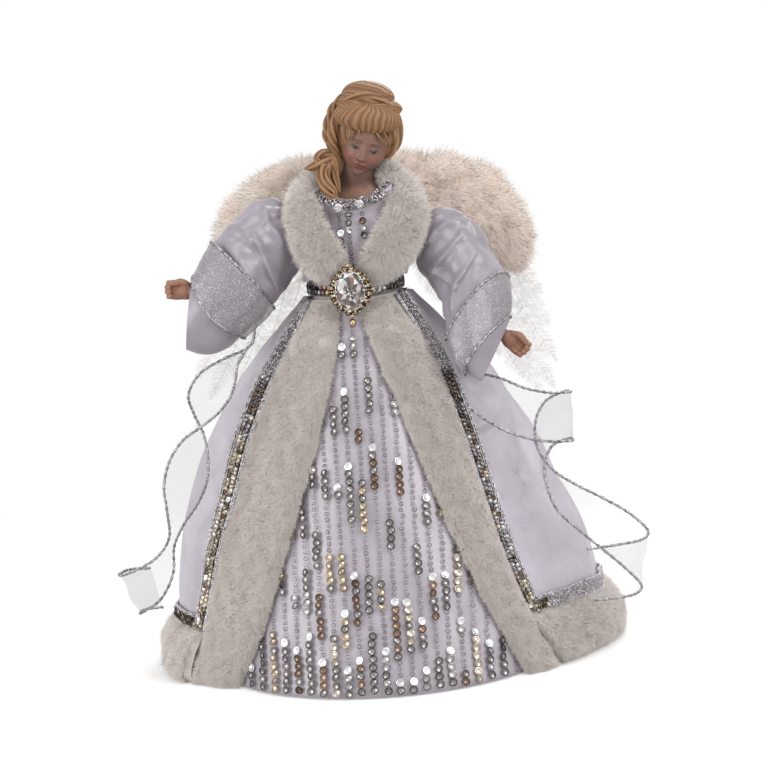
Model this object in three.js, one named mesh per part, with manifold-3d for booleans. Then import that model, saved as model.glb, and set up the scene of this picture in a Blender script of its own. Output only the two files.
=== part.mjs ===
// Angel tree topper: a porcelain bust and hands on a hollow cone, dressed in a satin coat with fur edges,
// a skirt, a fur collar, belt and brooch, sheer wired ribbon on both cuffs, wings of down and long feathers.
// Millimetres, +Z up, front towards -Y. Left and right are as seen from the front, left towards -X.
// The origin is on the floor, at the middle of the cone's foot.
import * as THREE from "three";
import { mergeVertices } from "three/addons/utils/BufferGeometryUtils.js";
import Module from "manifold-3d";

const wasm = await Module();
wasm.setup();

// Clearances
const seatGap = 0.3;
const layerGap = 0.5;

// Cone and skirt
const coneFootRadius = 107;
const coneTopRadius = 22;
const coneHeight = 240;
const coneWall = 2.2;
const waistRise = 22;
const waistHeight = coneHeight + waistRise;
const skirtFrontFlare = 20;
const skirtBackFlare = 3.5;
const skirtHemRadius = coneFootRadius + skirtFrontFlare;
const skirtBackRadius = coneFootRadius + skirtBackFlare;
const skirtWaistEase = 6;
const skirtWaistRadius = coneTopRadius + skirtWaistEase;
const skirtWall = 1.1;
const skirtTopDrop = 8;
const skirtTop = waistHeight - skirtTopDrop;

// Coat: waist, hem and thickness
const waistShift = -5.8;
const coatWaistEase = 3.5;
const coatFrontEase = 4;
const coatSideFlare = 27;
const coatBackEase = 2.5;
const coatWaistRadius = skirtWaistRadius + coatWaistEase;
const coatSideRadius = skirtHemRadius + coatSideFlare;
const coatFrontRadius = skirtHemRadius + coatFrontEase;
const coatBackRadius = skirtBackRadius + coatBackEase;
const coatWall = 1.6;
const coatTopDrop = 7;
const coatTop = waistHeight - coatTopDrop;
const coatFoldDepth = 7;
const coatEdgeAngleLeft = -68;
const coatEdgeAngleRight = 57;

// Fur edges of the coat
const furHemHeight = 34;
const furHemPuff = 13;
const furHemFloorGap = 0.4;
const furFrontPuff = 10;
const furSeatDepth = 2.4;

// Sequin braid along the coat's edges
const braidWidth = 9.5;
const braidThickness = 1.6;
const braidCornerGap = 1;

// Belt
const beltEase = 1.5;
const beltHalfWidth = coatWaistRadius + beltEase;
const beltDeeper = 4;
const beltHalfDepth = beltHalfWidth + beltDeeper;
const beltHeight = 9;
const beltThickness = 1.4;

// Torso
const torsoRise = 50;
const torsoTop = waistHeight + torsoRise;
const torsoPlug = 18;
const torsoWaistRadius = beltHalfWidth - beltThickness - 2 * seatGap;
const torsoShoulderHalfWidth = 33;
const torsoHalfDepth = 22;
const torsoShoulderShift = 1;

// Bust
const headHalfWidth = 17.5;
const headHalfDepth = 20;
const headHalfHeight = 23.5;
const headX = 6.5;
const headY = -11;
const headRise = 50;
const headZ = torsoTop + headRise;
const headTilt = 12;
const headPitch = 14;
const neckRadius = 11;
const hairGrowth = 8.5;
const topknotRadius = 13;
const ponytailRadius = 8;

// Collar, neckline and bodice
const collarHalfWidth = 15;
const collarHalfThickness = 6.5;
const collarReach = 100;
const bodiceThickness = 1.2;
const bodiceInset = 5.5;
const bodiceDepth = torsoWaistRadius - bodiceInset;
const necklineWidth = 8;
const necklineThickness = 3;
const jewelRadius = 3;
const jewelHeight = 2.6;

// Brooch
const broochHalfWidth = 16;
const broochHalfHeight = 18;
const broochThickness = 3.4;
const broochStandOff = 7;
const broochBackY = -beltHalfDepth - broochStandOff;
const broochX = -7;
const broochSag = 0.5;
const broochZ = waistHeight - broochSag;
const stoneHalfWidth = 9;
const stoneHalfHeight = 12.5;
const stoneDepth = 5.5;
const dropBeadRadius = 2.6;

// Arms: the shoulder pivots lie outside the torso, above the waist
const shoulderReachLeft = 13;
const shoulderReachRight = 14;
const shoulderRiseLeft = 56;
const shoulderRiseRight = 44;
const armReach = 100;
const sleeveWall = 1.2;
const armWireRadius = 1.2;
const wristRadius = 4.6;
const forearmRadius = 5.6;
const handHalfLength = 9;
const fingerRadius = 2.1;
const fingerLength = 8;

// Ribbon
const ribbonReach = 100;
const ribbonThickness = 0.7;

// Wings and feathers
const wingReach = 120;
const wingHalfThickness = 13;
const wingBoardHalfWidth = 26;
const wingBoardHeight = 44;
const wingBoardThickness = 2.4;
const yokeEase = 3.5;
const yokeHalfWidth = torsoShoulderHalfWidth + yokeEase;
const yokeHalfDepth = torsoWaistRadius;
const yokeWall = 1.2;
const yokeTopDrop = 2;
const wingBoardRise = 28;
const wingBoardZ = waistHeight + wingBoardRise;
const featherThickness = 1;

// Segment counts
const clothAroundCount = 22;
const clothUpCount = 8;
const furAlongCount = 18;
const furAcrossCount = 6;

const rad = THREE.MathUtils.degToRad;
const { lerp, clamp, smoothstep } = THREE.MathUtils;

// Solids

// An indexed geometry whose faces point outwards, from a list of points and a list of triangles.
function solid(points, triangles) {
  let volume = 0;
  const [p, q, r] = [new THREE.Vector3(), new THREE.Vector3(), new THREE.Vector3()];
  for (const [a, b, c] of triangles) {
    p.copy(points[a]);
    q.copy(points[b]);
    r.copy(points[c]);
    volume += p.dot(q.cross(r));
  }
  const index = volume < 0 ? triangles.map(([a, b, c]) => [a, c, b]) : triangles;
  const geometry = new THREE.BufferGeometry().setFromPoints(points);
  geometry.setIndex(index.flat());
  return geometry;
}

// A closed thin solid between two surfaces, each a function of u and v from 0 to 1. A ring closes in u.
function shell(outer, inner, uSteps, vSteps, ring = false) {
  const columns = ring ? uSteps : uSteps + 1;
  const points = [];
  const triangles = [];
  for (const surface of [outer, inner])
    for (let i = 0; i < columns; i++)
      for (let j = 0; j <= vSteps; j++) points.push(surface(i / uSteps, j / vSteps));
  const side = columns * (vSteps + 1);
  const at = (i, j) => (i % columns) * (vSteps + 1) + j;
  const quad = (a, b, c, d) => triangles.push([a, b, c], [a, c, d]);
  for (let i = 0; i < uSteps; i++) {
    for (let j = 0; j < vSteps; j++) {
      quad(at(i, j), at(i + 1, j), at(i + 1, j + 1), at(i, j + 1));
      quad(side + at(i, j), side + at(i, j + 1), side + at(i + 1, j + 1), side + at(i + 1, j));
    }
    quad(side + at(i, 0), side + at(i + 1, 0), at(i + 1, 0), at(i, 0));
    quad(at(i, vSteps), at(i + 1, vSteps), side + at(i + 1, vSteps), side + at(i, vSteps));
  }
  if (!ring)
    for (let j = 0; j < vSteps; j++) {
      quad(at(0, j), at(0, j + 1), side + at(0, j + 1), side + at(0, j));
      quad(at(uSteps, j + 1), at(uSteps, j), side + at(uSteps, j), side + at(uSteps, j + 1));
    }
  return solid(points, triangles);
}

// A closed solid through rings that hold the same number of points, capped at both ends.
function loft(rings) {
  const n = rings[0].length;
  const points = rings.flat();
  const triangles = [];
  for (let i = 0; i + 1 < rings.length; i++)
    for (let j = 0; j < n; j++) {
      const [a, b] = [i * n + j, i * n + ((j + 1) % n)];
      triangles.push([a, b, b + n], [a, b + n, a + n]);
    }
  const ends = [rings[0], rings[rings.length - 1]];
  ends.forEach((ring, end) => {
    const centre = points.length;
    points.push(ring.reduce((sum, p) => sum.add(p), new THREE.Vector3()).divideScalar(n));
    const first = end ? (rings.length - 1) * n : 0;
    for (let j = 0; j < n; j++) {
      const [a, b] = [first + j, first + ((j + 1) % n)];
      triangles.push(end ? [a, b, centre] : [b, a, centre]);
    }
  });
  return solid(points, triangles);
}

// An elliptical ring of n points round a centre, in the plane of two half axes.
function ellipseRing(centre, axisA, axisB, n) {
  return Array.from({ length: n }, (_, i) => {
    const turn = (2 * Math.PI * i) / n;
    return centre.clone().addScaledVector(axisA, Math.cos(turn)).addScaledVector(axisB, Math.sin(turn));
  });
}

function toManifold(geometry) {
  const plain = geometry.clone();
  plain.deleteAttribute("normal");
  plain.deleteAttribute("uv");
  const merged = mergeVertices(plain, 1e-3);
  return new wasm.Manifold(
    new wasm.Mesh({
      numProp: 3,
      vertProperties: merged.attributes.position.array,
      triVerts: new Uint32Array(merged.index.array),
    }),
  );
}

function fromManifold(made) {
  const mesh = made.getMesh();
  const geometry = new THREE.BufferGeometry();
  const vertices = new Float32Array(mesh.vertProperties);
  geometry.setAttribute("position", new THREE.BufferAttribute(vertices, 3));
  geometry.setIndex(new THREE.BufferAttribute(new Uint32Array(mesh.triVerts), 1));
  return geometry;
}

function join(geometries) {
  return fromManifold(geometries.map(toManifold).reduce((sum, next) => sum.add(next)));
}

function cut(geometry, ...tools) {
  const whole = toManifold(geometry);
  return fromManifold(tools.map(toManifold).reduce((left, tool) => left.subtract(tool), whole));
}

// A smooth value through evenly spaced shares.
function through(shares, t) {
  const at = clamp(t, 0, 1) * (shares.length - 1);
  const i = Math.min(Math.floor(at), shares.length - 2);
  const k = at - i;
  const [p0, p1, p2, p3] = [-1, 0, 1, 2].map((d) => shares[clamp(i + d, 0, shares.length - 1)]);
  const [m1, m2] = [(p2 - p0) / 2, (p3 - p1) / 2];
  const [k2, k3] = [k * k, k * k * k];
  return (2 * k3 - 3 * k2 + 1) * p1 + (k3 - 2 * k2 + k) * m1 + (3 * k2 - 2 * k3) * p2 + (k3 - k2) * m2;
}

// The gown's surfaces: an angle is counted from the front towards +X, in degrees

const degreesOf = (length, radius) => (180 * length) / (Math.PI * radius);
const axisX = (z) => (waistShift * z) / waistHeight;

function onGown(angle, radius, z) {
  const a = rad(angle);
  return new THREE.Vector3(axisX(z) + radius * Math.sin(a), -radius * Math.cos(a), z);
}

function skirtRadius(angle, z) {
  const t = clamp(z / waistHeight, 0, 1);
  const fullShare = (1 - t) ** 0.9;
  const hem = lerp(skirtHemRadius, skirtBackRadius, smoothstep(Math.abs(angle), 60, 150));
  return skirtWaistRadius + (hem - skirtWaistRadius) * fullShare;
}

// How far out the coat stands at its side, from the hem to the waist.
const coatSideShares = {
  left: [1, 0.985, 0.955, 0.915, 0.865, 0.79, 0.7, 0.56, 0.4, 0.2, 0],
  right: [1, 0.97, 0.93, 0.87, 0.79, 0.69, 0.58, 0.45, 0.31, 0.15, 0],
};

// The hand side of an angle that may be counted past 180 degrees.
const sideOf = (angle) => (angle < 0 || angle > 180 ? "left" : "right");
const fromFront = (angle) => (angle > 180 ? 360 - angle : Math.abs(angle));

function coatHemRadius(angle) {
  const side = fromFront(angle);
  const [from, to] = sideOf(angle) === "left" ? [38, 84] : [50, 96];
  if (side < 100) return lerp(coatFrontRadius, coatSideRadius, smoothstep(side, from, to));
  return lerp(coatSideRadius, coatBackRadius, smoothstep(side, 100, 172));
}

// The main folds: each has a place at the hem and at the waist, a half width in degrees and a depth share.
const rightFoldShares = [
  { hem: 0.5, waist: 0.62, half: 0.07, deep: 0.9 },
  { hem: 0.68, waist: 0.55, half: 0.05, deep: 0.75 },
  { hem: 0.86, waist: 0.8, half: 0.07, deep: 1 },
];
const leftFoldShares = [
  { hem: 0.52, waist: 0.7, half: 0.07, deep: 0.5 },
  { hem: 0.8, waist: 0.78, half: 0.08, deep: 0.9 },
];
const backFoldShares = [
  { hem: 0.12, waist: 0.3, half: 0.06, deep: 0.8 },
  { hem: 0.31, waist: 0.4, half: 0.07, deep: 1 },
  { hem: 0.5, waist: 0.5, half: 0.06, deep: 0.9 },
  { hem: 0.69, waist: 0.6, half: 0.07, deep: 1 },
  { hem: 0.88, waist: 0.7, half: 0.06, deep: 0.8 },
];
const foldFrontAngle = 45;
const foldSideAngle = 125;

function foldDepth(angle, t) {
  const side = Math.abs(angle);
  const behind = side > foldSideAngle;
  const turned = angle < 0 ? 360 + angle : angle;
  const span = 360 - 2 * foldSideAngle;
  const share = behind
    ? (turned - foldSideAngle) / span
    : (side - foldFrontAngle) / (foldSideAngle - foldFrontAngle);
  const folds = behind ? backFoldShares : angle < 0 ? leftFoldShares : rightFoldShares;
  let depth = 0;
  for (const fold of folds) {
    const off = Math.abs(share - lerp(fold.hem, fold.waist, t)) / fold.half;
    if (off < 1) depth += fold.deep * (1 - off) ** 1.5 * (1 + off);
  }
  return coatFoldDepth * depth * Math.sin(Math.PI * clamp(0.12 + 0.88 * (1 - t), 0, 1)) ** 0.7;
}

function coatRadius(angle, z) {
  const t = clamp(z / waistHeight, 0, 1);
  const frontShare = (1 - t) ** 0.86;
  const sideShare = through(coatSideShares[sideOf(angle)], t);
  const side = fromFront(angle);
  const sideWeight = smoothstep(side, 58, 96) * (1 - 0.8 * smoothstep(side, 108, 165));
  const share = lerp(frontShare, sideShare, sideWeight);
  const plain = coatWaistRadius + (coatHemRadius(angle) - coatWaistRadius) * share;
  return plain + foldDepth(angle, t);
}

// The angles of the coat's front edges and of the fur's inner edges, from the hem to the waist.
const edgeShares = {
  left: [1.02, 1.0, 1.0, 1.01, 1, 1, 1, 0.98, 0.9, 0.82],
  right: [1.02, 0.95, 0.91, 0.9, 0.92, 0.95, 0.98, 1, 0.96, 0.84],
};
const furInnerLeftAngles = [-54, -48, -43.5, -40, -36, -31, -26.5, -22, -18, -14];
const furInnerRightAngles = [45, 41.5, 37.5, 34, 31, 28, 24, 18.5, 10.5, 0.5];

// Half the gap where two pieces meet at the back, and at a side seam.
const backGapAngle = degreesOf(seatGap, coatBackRadius);
const seamGapAngle = degreesOf(seatGap, coatWaistRadius);

const coatEdge = (edge, t) => edge * through(edgeShares[sideOf(edge)], t);

// A panel of the coat between two angles at each height.
function coatPanel(from, to, bottom) {
  const surface = (inset) => (u, v) => {
    const z = lerp(bottom, coatTop, v);
    const t = z / waistHeight;
    const angle = lerp(from(t), to(t), u);
    return onGown(angle, coatRadius(angle, z) - inset, z);
  };
  return shell(surface(0), surface(coatWall), clothAroundCount, clothUpCount);
}

// A puffy strip of fur lying on a surface: u runs across it, v along it.
function furStrip(place, seat, puff, uSteps, vSteps) {
  const round = (x) => Math.sqrt(Math.max(0, 1 - Math.abs(2 * x - 1) ** 3));
  const outer = (u, v) => place(u, v, seat + puff(v) * lerp(0.18, 1, round(u)));
  return shell(outer, (u, v) => place(u, v, seat), uSteps, vSteps);
}

// Parts

function coneCore() {
  const profile = [
    [coneFootRadius - coneWall, 0],
    [coneFootRadius, 0],
    [coneTopRadius, coneHeight],
    [coneTopRadius - coneWall, coneHeight],
    [coneFootRadius - coneWall, 0],
  ];
  const geometry = new THREE.LatheGeometry(
    profile.map(([r, z]) => new THREE.Vector2(r, z)),
    48,
  );
  return geometry.rotateX(Math.PI / 2);
}

function torsoForm() {
  const plugRadius = coneTopRadius - coneWall - seatGap - torsoPlug / 6;
  const across = (wide) => new THREE.Vector3(wide, 0, 0);
  const ring = (x, z, wide, deep) =>
    ellipseRing(new THREE.Vector3(x, 0, z), across(wide), new THREE.Vector3(0, deep, 0), 24);
  const rise = torsoTop - coneHeight;
  const rows = [
    [0, coneHeight - torsoPlug, plugRadius, plugRadius],
    [0, coneHeight + seatGap, plugRadius, plugRadius],
    [waistShift / 2, coneHeight + seatGap * 2, torsoWaistRadius * 0.8, torsoWaistRadius * 0.8],
    [waistShift, coneHeight + rise * 0.2, torsoWaistRadius * 0.97, torsoWaistRadius * 0.97],
    [waistShift, coneHeight + rise * 0.34, torsoWaistRadius, torsoWaistRadius * 0.96],
    [waistShift * 0.6, coneHeight + rise * 0.66, torsoShoulderHalfWidth, torsoHalfDepth * 1.1],
    [waistShift * 0.1, coneHeight + rise * 0.86, torsoShoulderHalfWidth, torsoHalfDepth],
    [torsoShoulderShift, torsoTop, torsoShoulderHalfWidth * 0.95, torsoHalfDepth * 0.86],
  ];
  return loft(rows.map((row) => ring(...row)));
}

// An ellipsoid in the head's own frame, turned and placed with it.
function headPiece(x, y, z, half, grow) {
  const geometry = new THREE.SphereGeometry(1, 12, 9);
  geometry.rotateX(Math.PI / 2);
  geometry.scale(half[0] + grow, half[1] + grow, half[2] + grow);
  geometry.translate(x, y, z);
  const tilt = new THREE.Euler(rad(headPitch), rad(headTilt), 0, "YXZ");
  const turn = new THREE.Matrix4().makeRotationFromEuler(tilt);
  return geometry.applyMatrix4(turn).translate(headX, headY, headZ);
}

function shoulderPlate(grow) {
  const plateShares = [
    { x: 0.3, y: -0.1, z: 0, wide: 2.85, deep: 1.72 },
    { x: 0.35, y: -0.15, z: 0.45, wide: 2.6, deep: 1.65 },
    { x: 0.45, y: -0.35, z: 0.95, wide: 1.95, deep: 1.45 },
    { x: 0.6, y: -0.6, z: 1.4, wide: 1.3, deep: 1.2 },
    { x: 0.75, y: -0.75, z: 1.85, wide: 1, deep: 1.02 },
    { x: 0.72, y: -0.85, z: 3.2, wide: 0.92, deep: 0.98 },
  ];
  return loft(
    plateShares.map((row) =>
      ellipseRing(
        new THREE.Vector3(row.x * neckRadius, row.y * neckRadius, torsoTop + seatGap + row.z * neckRadius),
        new THREE.Vector3(row.wide * neckRadius + grow, 0, 0),
        new THREE.Vector3(0, row.deep * neckRadius + grow, 0),
        20,
      ),
    ),
  );
}

function ponytail(grow) {
  const tailShares = [
    { x: -1.9, y: 0.6, z: -0.4, r: 0.8 },
    { x: -2.6, y: -0.1, z: -0.9, r: 1.15 },
    { x: -3.1, y: -0.7, z: -1.9, r: 1.25 },
    { x: -2.9, y: -1.1, z: -3.0, r: 1.1 },
    { x: -2.3, y: -1.4, z: -3.9, r: 0.75 },
    { x: -1.9, y: -1.5, z: -4.5, r: 0.3 },
  ];
  return loft(
    tailShares.map((row) => {
      const place = new THREE.Vector3(row.x, row.y, row.z).multiplyScalar(ponytailRadius);
      const half = row.r * ponytailRadius;
      return ellipseRing(
        place.add(new THREE.Vector3(headX, headY, headZ)),
        new THREE.Vector3(half + grow, 0, 0),
        new THREE.Vector3(0, 0.8 * half + grow, 0),
        12,
      );
    }),
  );
}

function bustSolids(grow) {
  const wide = headHalfWidth + hairGrowth;
  const [deep, high] = [headHalfDepth, headHalfHeight];
  const nose = headHalfWidth * 0.2;
  const hairCap = [wide, deep * 1.1, high * 1.08];
  const pompadour = [wide * 0.86, deep * 0.58, high * 0.44];
  const topknot = [topknotRadius, topknotRadius, topknotRadius * 0.62];
  return [
    shoulderPlate(grow),
    headPiece(0, 0, 0, [headHalfWidth, deep, high], grow),
    headPiece(0, -deep * 0.98, -high * 0.22, [nose * 0.8, nose, nose * 1.4], grow),
    headPiece(0, deep * 0.28, high * 0.3, hairCap, grow),
    headPiece(0, -deep * 0.5, high * 0.78, pompadour, grow),
    headPiece(0, deep * 0.22, high * 1.33, topknot, grow),
    ponytail(grow),
  ];
}

const porcelainBust = () => join(bustSolids(0));

// The collar's two lapels: from behind the neck over the shoulder down to the belt, heights from the waist.
const collarShares = {
  left: [
    { x: -0.045, y: 0.235, z: 0.73, w: 0.6, n: [0, 1, 0.5] },
    { x: -0.21, y: 0.19, z: 0.74, w: 0.72, n: [-0.5, 0.8, 0.6] },
    { x: -0.345, y: 0.03, z: 0.705, w: 0.82, n: [-0.75, 0.1, 0.9] },
    { x: -0.365, y: -0.15, z: 0.62, w: 0.94, n: [-0.65, -0.6, 0.6] },
    { x: -0.345, y: -0.27, z: 0.46, w: 1, n: [-0.5, -0.85, 0.15] },
    { x: -0.29, y: -0.33, z: 0.3, w: 1, n: [-0.35, -0.94, 0] },
    { x: -0.215, y: -0.35, z: 0.17, w: 0.86, n: [-0.2, -0.98, 0] },
    { x: -0.135, y: -0.355, z: 0.068, w: 0.5, n: [-0.1, -1, 0] },
  ],
  right: [
    { x: 0.045, y: 0.235, z: 0.72, w: 0.6, n: [0, 1, 0.5] },
    { x: 0.215, y: 0.19, z: 0.71, w: 0.72, n: [0.5, 0.8, 0.6] },
    { x: 0.345, y: 0.03, z: 0.65, w: 0.82, n: [0.75, 0.1, 0.9] },
    { x: 0.375, y: -0.15, z: 0.55, w: 0.94, n: [0.65, -0.6, 0.6] },
    { x: 0.35, y: -0.27, z: 0.41, w: 1, n: [0.5, -0.85, 0.15] },
    { x: 0.27, y: -0.33, z: 0.27, w: 1, n: [0.35, -0.94, 0] },
    { x: 0.165, y: -0.35, z: 0.16, w: 0.8, n: [0.2, -0.98, 0] },
    { x: 0.075, y: -0.355, z: 0.055, w: 0.45, n: [0.1, -1, 0] },
  ],
};

const waist = new THREE.Vector3(0, 0, waistHeight);

function stripRings(rows, halfWidth, halfThickness, count, sides) {
  const rings = [];
  const smooth = (of, t) => through(rows.map(of), t);
  const place = (t) => new THREE.Vector3(...["x", "y", "z"].map((k) => smooth((row) => row[k], t)));
  const normalAt = (t) =>
    new THREE.Vector3(...[0, 1, 2].map((k) => smooth((row) => row.n[k], t))).normalize();
  for (let i = 0; i <= count; i++) {
    const t = i / count;
    const centre = place(t);
    const along = place(Math.min(1, t + 0.02)).sub(place(Math.max(0, t - 0.02))).normalize();
    const wide = new THREE.Vector3().crossVectors(along, normalAt(t)).normalize();
    const out = new THREE.Vector3().crossVectors(wide, along).normalize();
    const share = smooth((row) => row.w, t);
    const endShare = Math.sqrt(Math.min(1, 6 * Math.min(t, 1 - t) + 0.15));
    rings.push(
      ellipseRing(
        centre.multiplyScalar(collarReach).add(waist),
        wide.multiplyScalar(halfWidth * share * endShare),
        out.multiplyScalar(halfThickness * Math.sqrt(share) * endShare),
        sides,
      ),
    );
  }
  return rings;
}

function furCollar(side) {
  const strip = loft(stripRings(collarShares[side], collarHalfWidth, collarHalfThickness, 18, 12));
  return cut(strip, ...bustSolids(layerGap));
}

// The bodice insert and the trim on it, on an upright elliptical surface in front of the torso.
function onBodice(x, z, lift) {
  const half = torsoShoulderHalfWidth * 1.25;
  const depth = (bodiceDepth + lift) * Math.sqrt(Math.max(0.05, 1 - (x / half) ** 2));
  return new THREE.Vector3(x, -depth - 0.08 * Math.max(0, torsoTop - z), z);
}

function bodicePanel() {
  const bottom = waistHeight + beltHeight;
  const surface = (lift) => (u, v) => {
    const z = lerp(bottom, torsoTop - seatGap, v);
    const half = lerp(torsoShoulderHalfWidth * 0.3, torsoShoulderHalfWidth * 0.74, v);
    return onBodice(waistShift * (1 - v) + lerp(-half, half, u), z, lift);
  };
  return shell(surface(bodiceThickness), surface(0), 8, 6);
}

const necklineShares = [
  { x: -0.235, y: -0.2, z: 0.69, n: [-0.4, -0.6, 0.6] },
  { x: -0.19, y: -0.285, z: 0.625, n: [-0.3, -0.8, 0.5] },
  { x: -0.11, y: -0.325, z: 0.58, n: [-0.1, -0.9, 0.4] },
  { x: -0.02, y: -0.34, z: 0.565, n: [0, -1, 0.4] },
  { x: 0.08, y: -0.33, z: 0.58, n: [0.1, -0.9, 0.4] },
  { x: 0.17, y: -0.29, z: 0.615, n: [0.3, -0.8, 0.5] },
  { x: 0.235, y: -0.215, z: 0.665, n: [0.4, -0.6, 0.6] },
].map((row) => ({ ...row, w: 1 }));

function necklineBraid() {
  const strip = loft(stripRings(necklineShares, necklineWidth / 2, necklineThickness / 2, 16, 8));
  const lapels = ["left", "right"].map((side) =>
    loft(stripRings(collarShares[side], collarHalfWidth + layerGap, collarHalfThickness + layerGap, 18, 12)),
  );
  return cut(strip, ...lapels, ...bustSolids(layerGap));
}

const jewelShares = [
  ["left", -0.105, 0.555],
  ["right", 0.04, 0.57],
];

function neckJewel(x, y, z) {
  const profile = [
    [0, 0],
    [jewelRadius, 0],
    [jewelRadius, jewelHeight * 0.35],
    [jewelRadius * 0.6, jewelHeight],
    [0, jewelHeight],
  ];
  const geometry = new THREE.LatheGeometry(profile.map(([r, h]) => new THREE.Vector2(r, h)), 8);
  geometry.rotateX(Math.PI);
  geometry.rotateX(-Math.PI / 2);
  return geometry.translate(x, y, z);
}

function belt() {
  const surface = (inset) => (u, v) => {
    const a = 2 * Math.PI * u;
    const x = waistShift + (beltHalfWidth - inset) * Math.sin(a);
    const y = -(beltHalfDepth - inset) * Math.cos(a);
    return new THREE.Vector3(x, y, waistHeight + beltHeight * (v - 0.5));
  };
  return shell(surface(0), surface(beltThickness), 36, 1, true);
}

// The brooch: a pointed oval frame with a scalloped edge, a seat for the stone and a pin post to the belt.
function broochFrame() {
  const outline = new THREE.Shape();
  const count = 44;
  for (let i = 0; i <= count; i++) {
    const a = (2 * Math.PI * i) / count;
    const point = Math.max(0, Math.abs(Math.sin(a)) - 0.93) / 0.07;
    const scallop = 1 + (i % 2 ? 0.035 : -0.035);
    const x = broochHalfWidth * 0.95 * Math.cos(a) * scallop;
    const z = broochHalfHeight * (0.86 + 0.14 * point) * Math.sin(a) * scallop;
    if (i) outline.lineTo(x, z);
    else outline.moveTo(x, z);
  }
  const frame = new THREE.ExtrudeGeometry(outline, { depth: broochThickness, bevelEnabled: false });
  frame.rotateX(Math.PI / 2).translate(broochX, broochBackY, broochZ);
  const bezel = stoneDisc(stoneHalfWidth + seatGap, stoneHalfHeight + seatGap, broochThickness);
  bezel.translate(broochX, broochBackY - broochThickness * 0.45, broochZ);
  const reach = Math.abs(broochBackY) - beltHalfDepth - 2 * seatGap;
  const post = new THREE.BoxGeometry(broochHalfWidth / 2, reach + broochThickness / 2, beltHeight * 0.6);
  post.translate(broochX, broochBackY + reach / 2 - broochThickness / 4, waistHeight);
  return cut(join([frame, post]), bezel);
}

// A flat oval slab behind y = 0, facing -Y.
function stoneDisc(halfWidth, halfHeight, depth) {
  const geometry = new THREE.CylinderGeometry(1, 1, depth, 28);
  geometry.scale(halfWidth, 1, halfHeight);
  return geometry.translate(0, -depth / 2, 0);
}

function broochStone() {
  const levelShares = [
    { out: 0, wide: 1 },
    { out: 0.45, wide: 1 },
    { out: 0.75, wide: 0.82 },
    { out: 1, wide: 0.5 },
  ];
  const back = broochBackY - broochThickness * 0.45 - seatGap;
  return loft(
    levelShares.map((level) =>
      ellipseRing(
        new THREE.Vector3(broochX, back - stoneDepth * level.out, broochZ),
        new THREE.Vector3(stoneHalfWidth * level.wide, 0, 0),
        new THREE.Vector3(0, 0, stoneHalfHeight * level.wide),
        20,
      ),
    ),
  );
}

function broochDrop() {
  const z = broochZ - broochHalfHeight * 1.03 - dropBeadRadius * 1.2 - seatGap;
  const geometry = new THREE.SphereGeometry(dropBeadRadius, 12, 8);
  geometry.rotateX(Math.PI / 2).scale(1, 1, 1.2);
  return geometry.translate(broochX, broochBackY - broochThickness / 2, z);
}

// Fur and braid on the coat

function furFront(inner, edge) {
  const bottom = furHemFloorGap;
  const place = (u, v, lift) => {
    const z = lerp(bottom, coatTop, v);
    const t = z / waistHeight;
    const gapAngle = Math.sign(edge) * degreesOf(layerGap, coatRadius(edge, z));
    const angle = lerp(through(inner, t), coatEdge(edge, t) - gapAngle, u);
    const coatSeat = coatRadius(angle, z) - foldDepth(angle, t) - furSeatDepth;
    return onGown(angle, lerp(skirtRadius(angle, z), coatSeat, u) + lift, z);
  };
  const puff = (v) => furFrontPuff * (0.3 + 0.7 * smoothstep(1 - v, 0, 0.14));
  return furStrip(place, layerGap * 1.6, puff, furAcrossCount + 2, furAlongCount);
}

function furHem(edge) {
  const sign = Math.sign(edge);
  const place = (u, v, lift) => {
    const z = lerp(furHemFloorGap, furHemHeight, u);
    const start = coatEdge(edge, z / waistHeight) + sign * degreesOf(3 * layerGap, coatFrontRadius);
    const angle = lerp(start, sign * (180 - backGapAngle), v);
    const plain = coatRadius(angle, z) - foldDepth(angle, z / waistHeight);
    return onGown(angle, plain + lift, z);
  };
  return furStrip(place, -coatWall, () => furHemPuff + coatWall, furAcrossCount, furAlongCount);
}

// Braid along the coat's front edge, lying on the coat beside the fur.
function braidFront(edge) {
  const sign = Math.sign(edge);
  const surface = (lift) => (u, v) => {
    const z = lerp(furHemHeight + seatGap, coatTop - seatGap, v);
    const t = z / waistHeight;
    const start = coatEdge(edge, t);
    const wide = degreesOf(braidWidth, coatRadius(start, z));
    const angle = start + sign * wide * u;
    return onGown(angle, coatRadius(angle, z) + layerGap + lift, z);
  };
  return shell(surface(braidThickness), surface(0), 2, 16);
}

function braidHem(edge) {
  const sign = Math.sign(edge);
  const surface = (lift) => (u, v) => {
    const z = lerp(furHemHeight + seatGap, furHemHeight + braidWidth, v);
    const t = z / waistHeight;
    const start = coatEdge(edge, t);
    const wide = degreesOf(braidWidth + braidCornerGap, coatRadius(start, z));
    const angle = lerp(start + sign * wide, sign * (180 - backGapAngle), u);
    return onGown(angle, coatRadius(angle, z) + 2.4 * layerGap + lift, z);
  };
  return shell(surface(braidThickness), surface(0), 40, 1);
}

function underskirt() {
  const surface = (inset) => (u, v) => {
    const z = lerp(furHemFloorGap * 2, skirtTop, v);
    const angle = 360 * u - 180;
    return onGown(angle, skirtRadius(angle, z) - inset, z);
  };
  return shell(surface(0), surface(skirtWall), 36, 4, true);
}

const shoulderPoint = (x, rise) => new THREE.Vector3(x, 0, waistHeight + rise);

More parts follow.
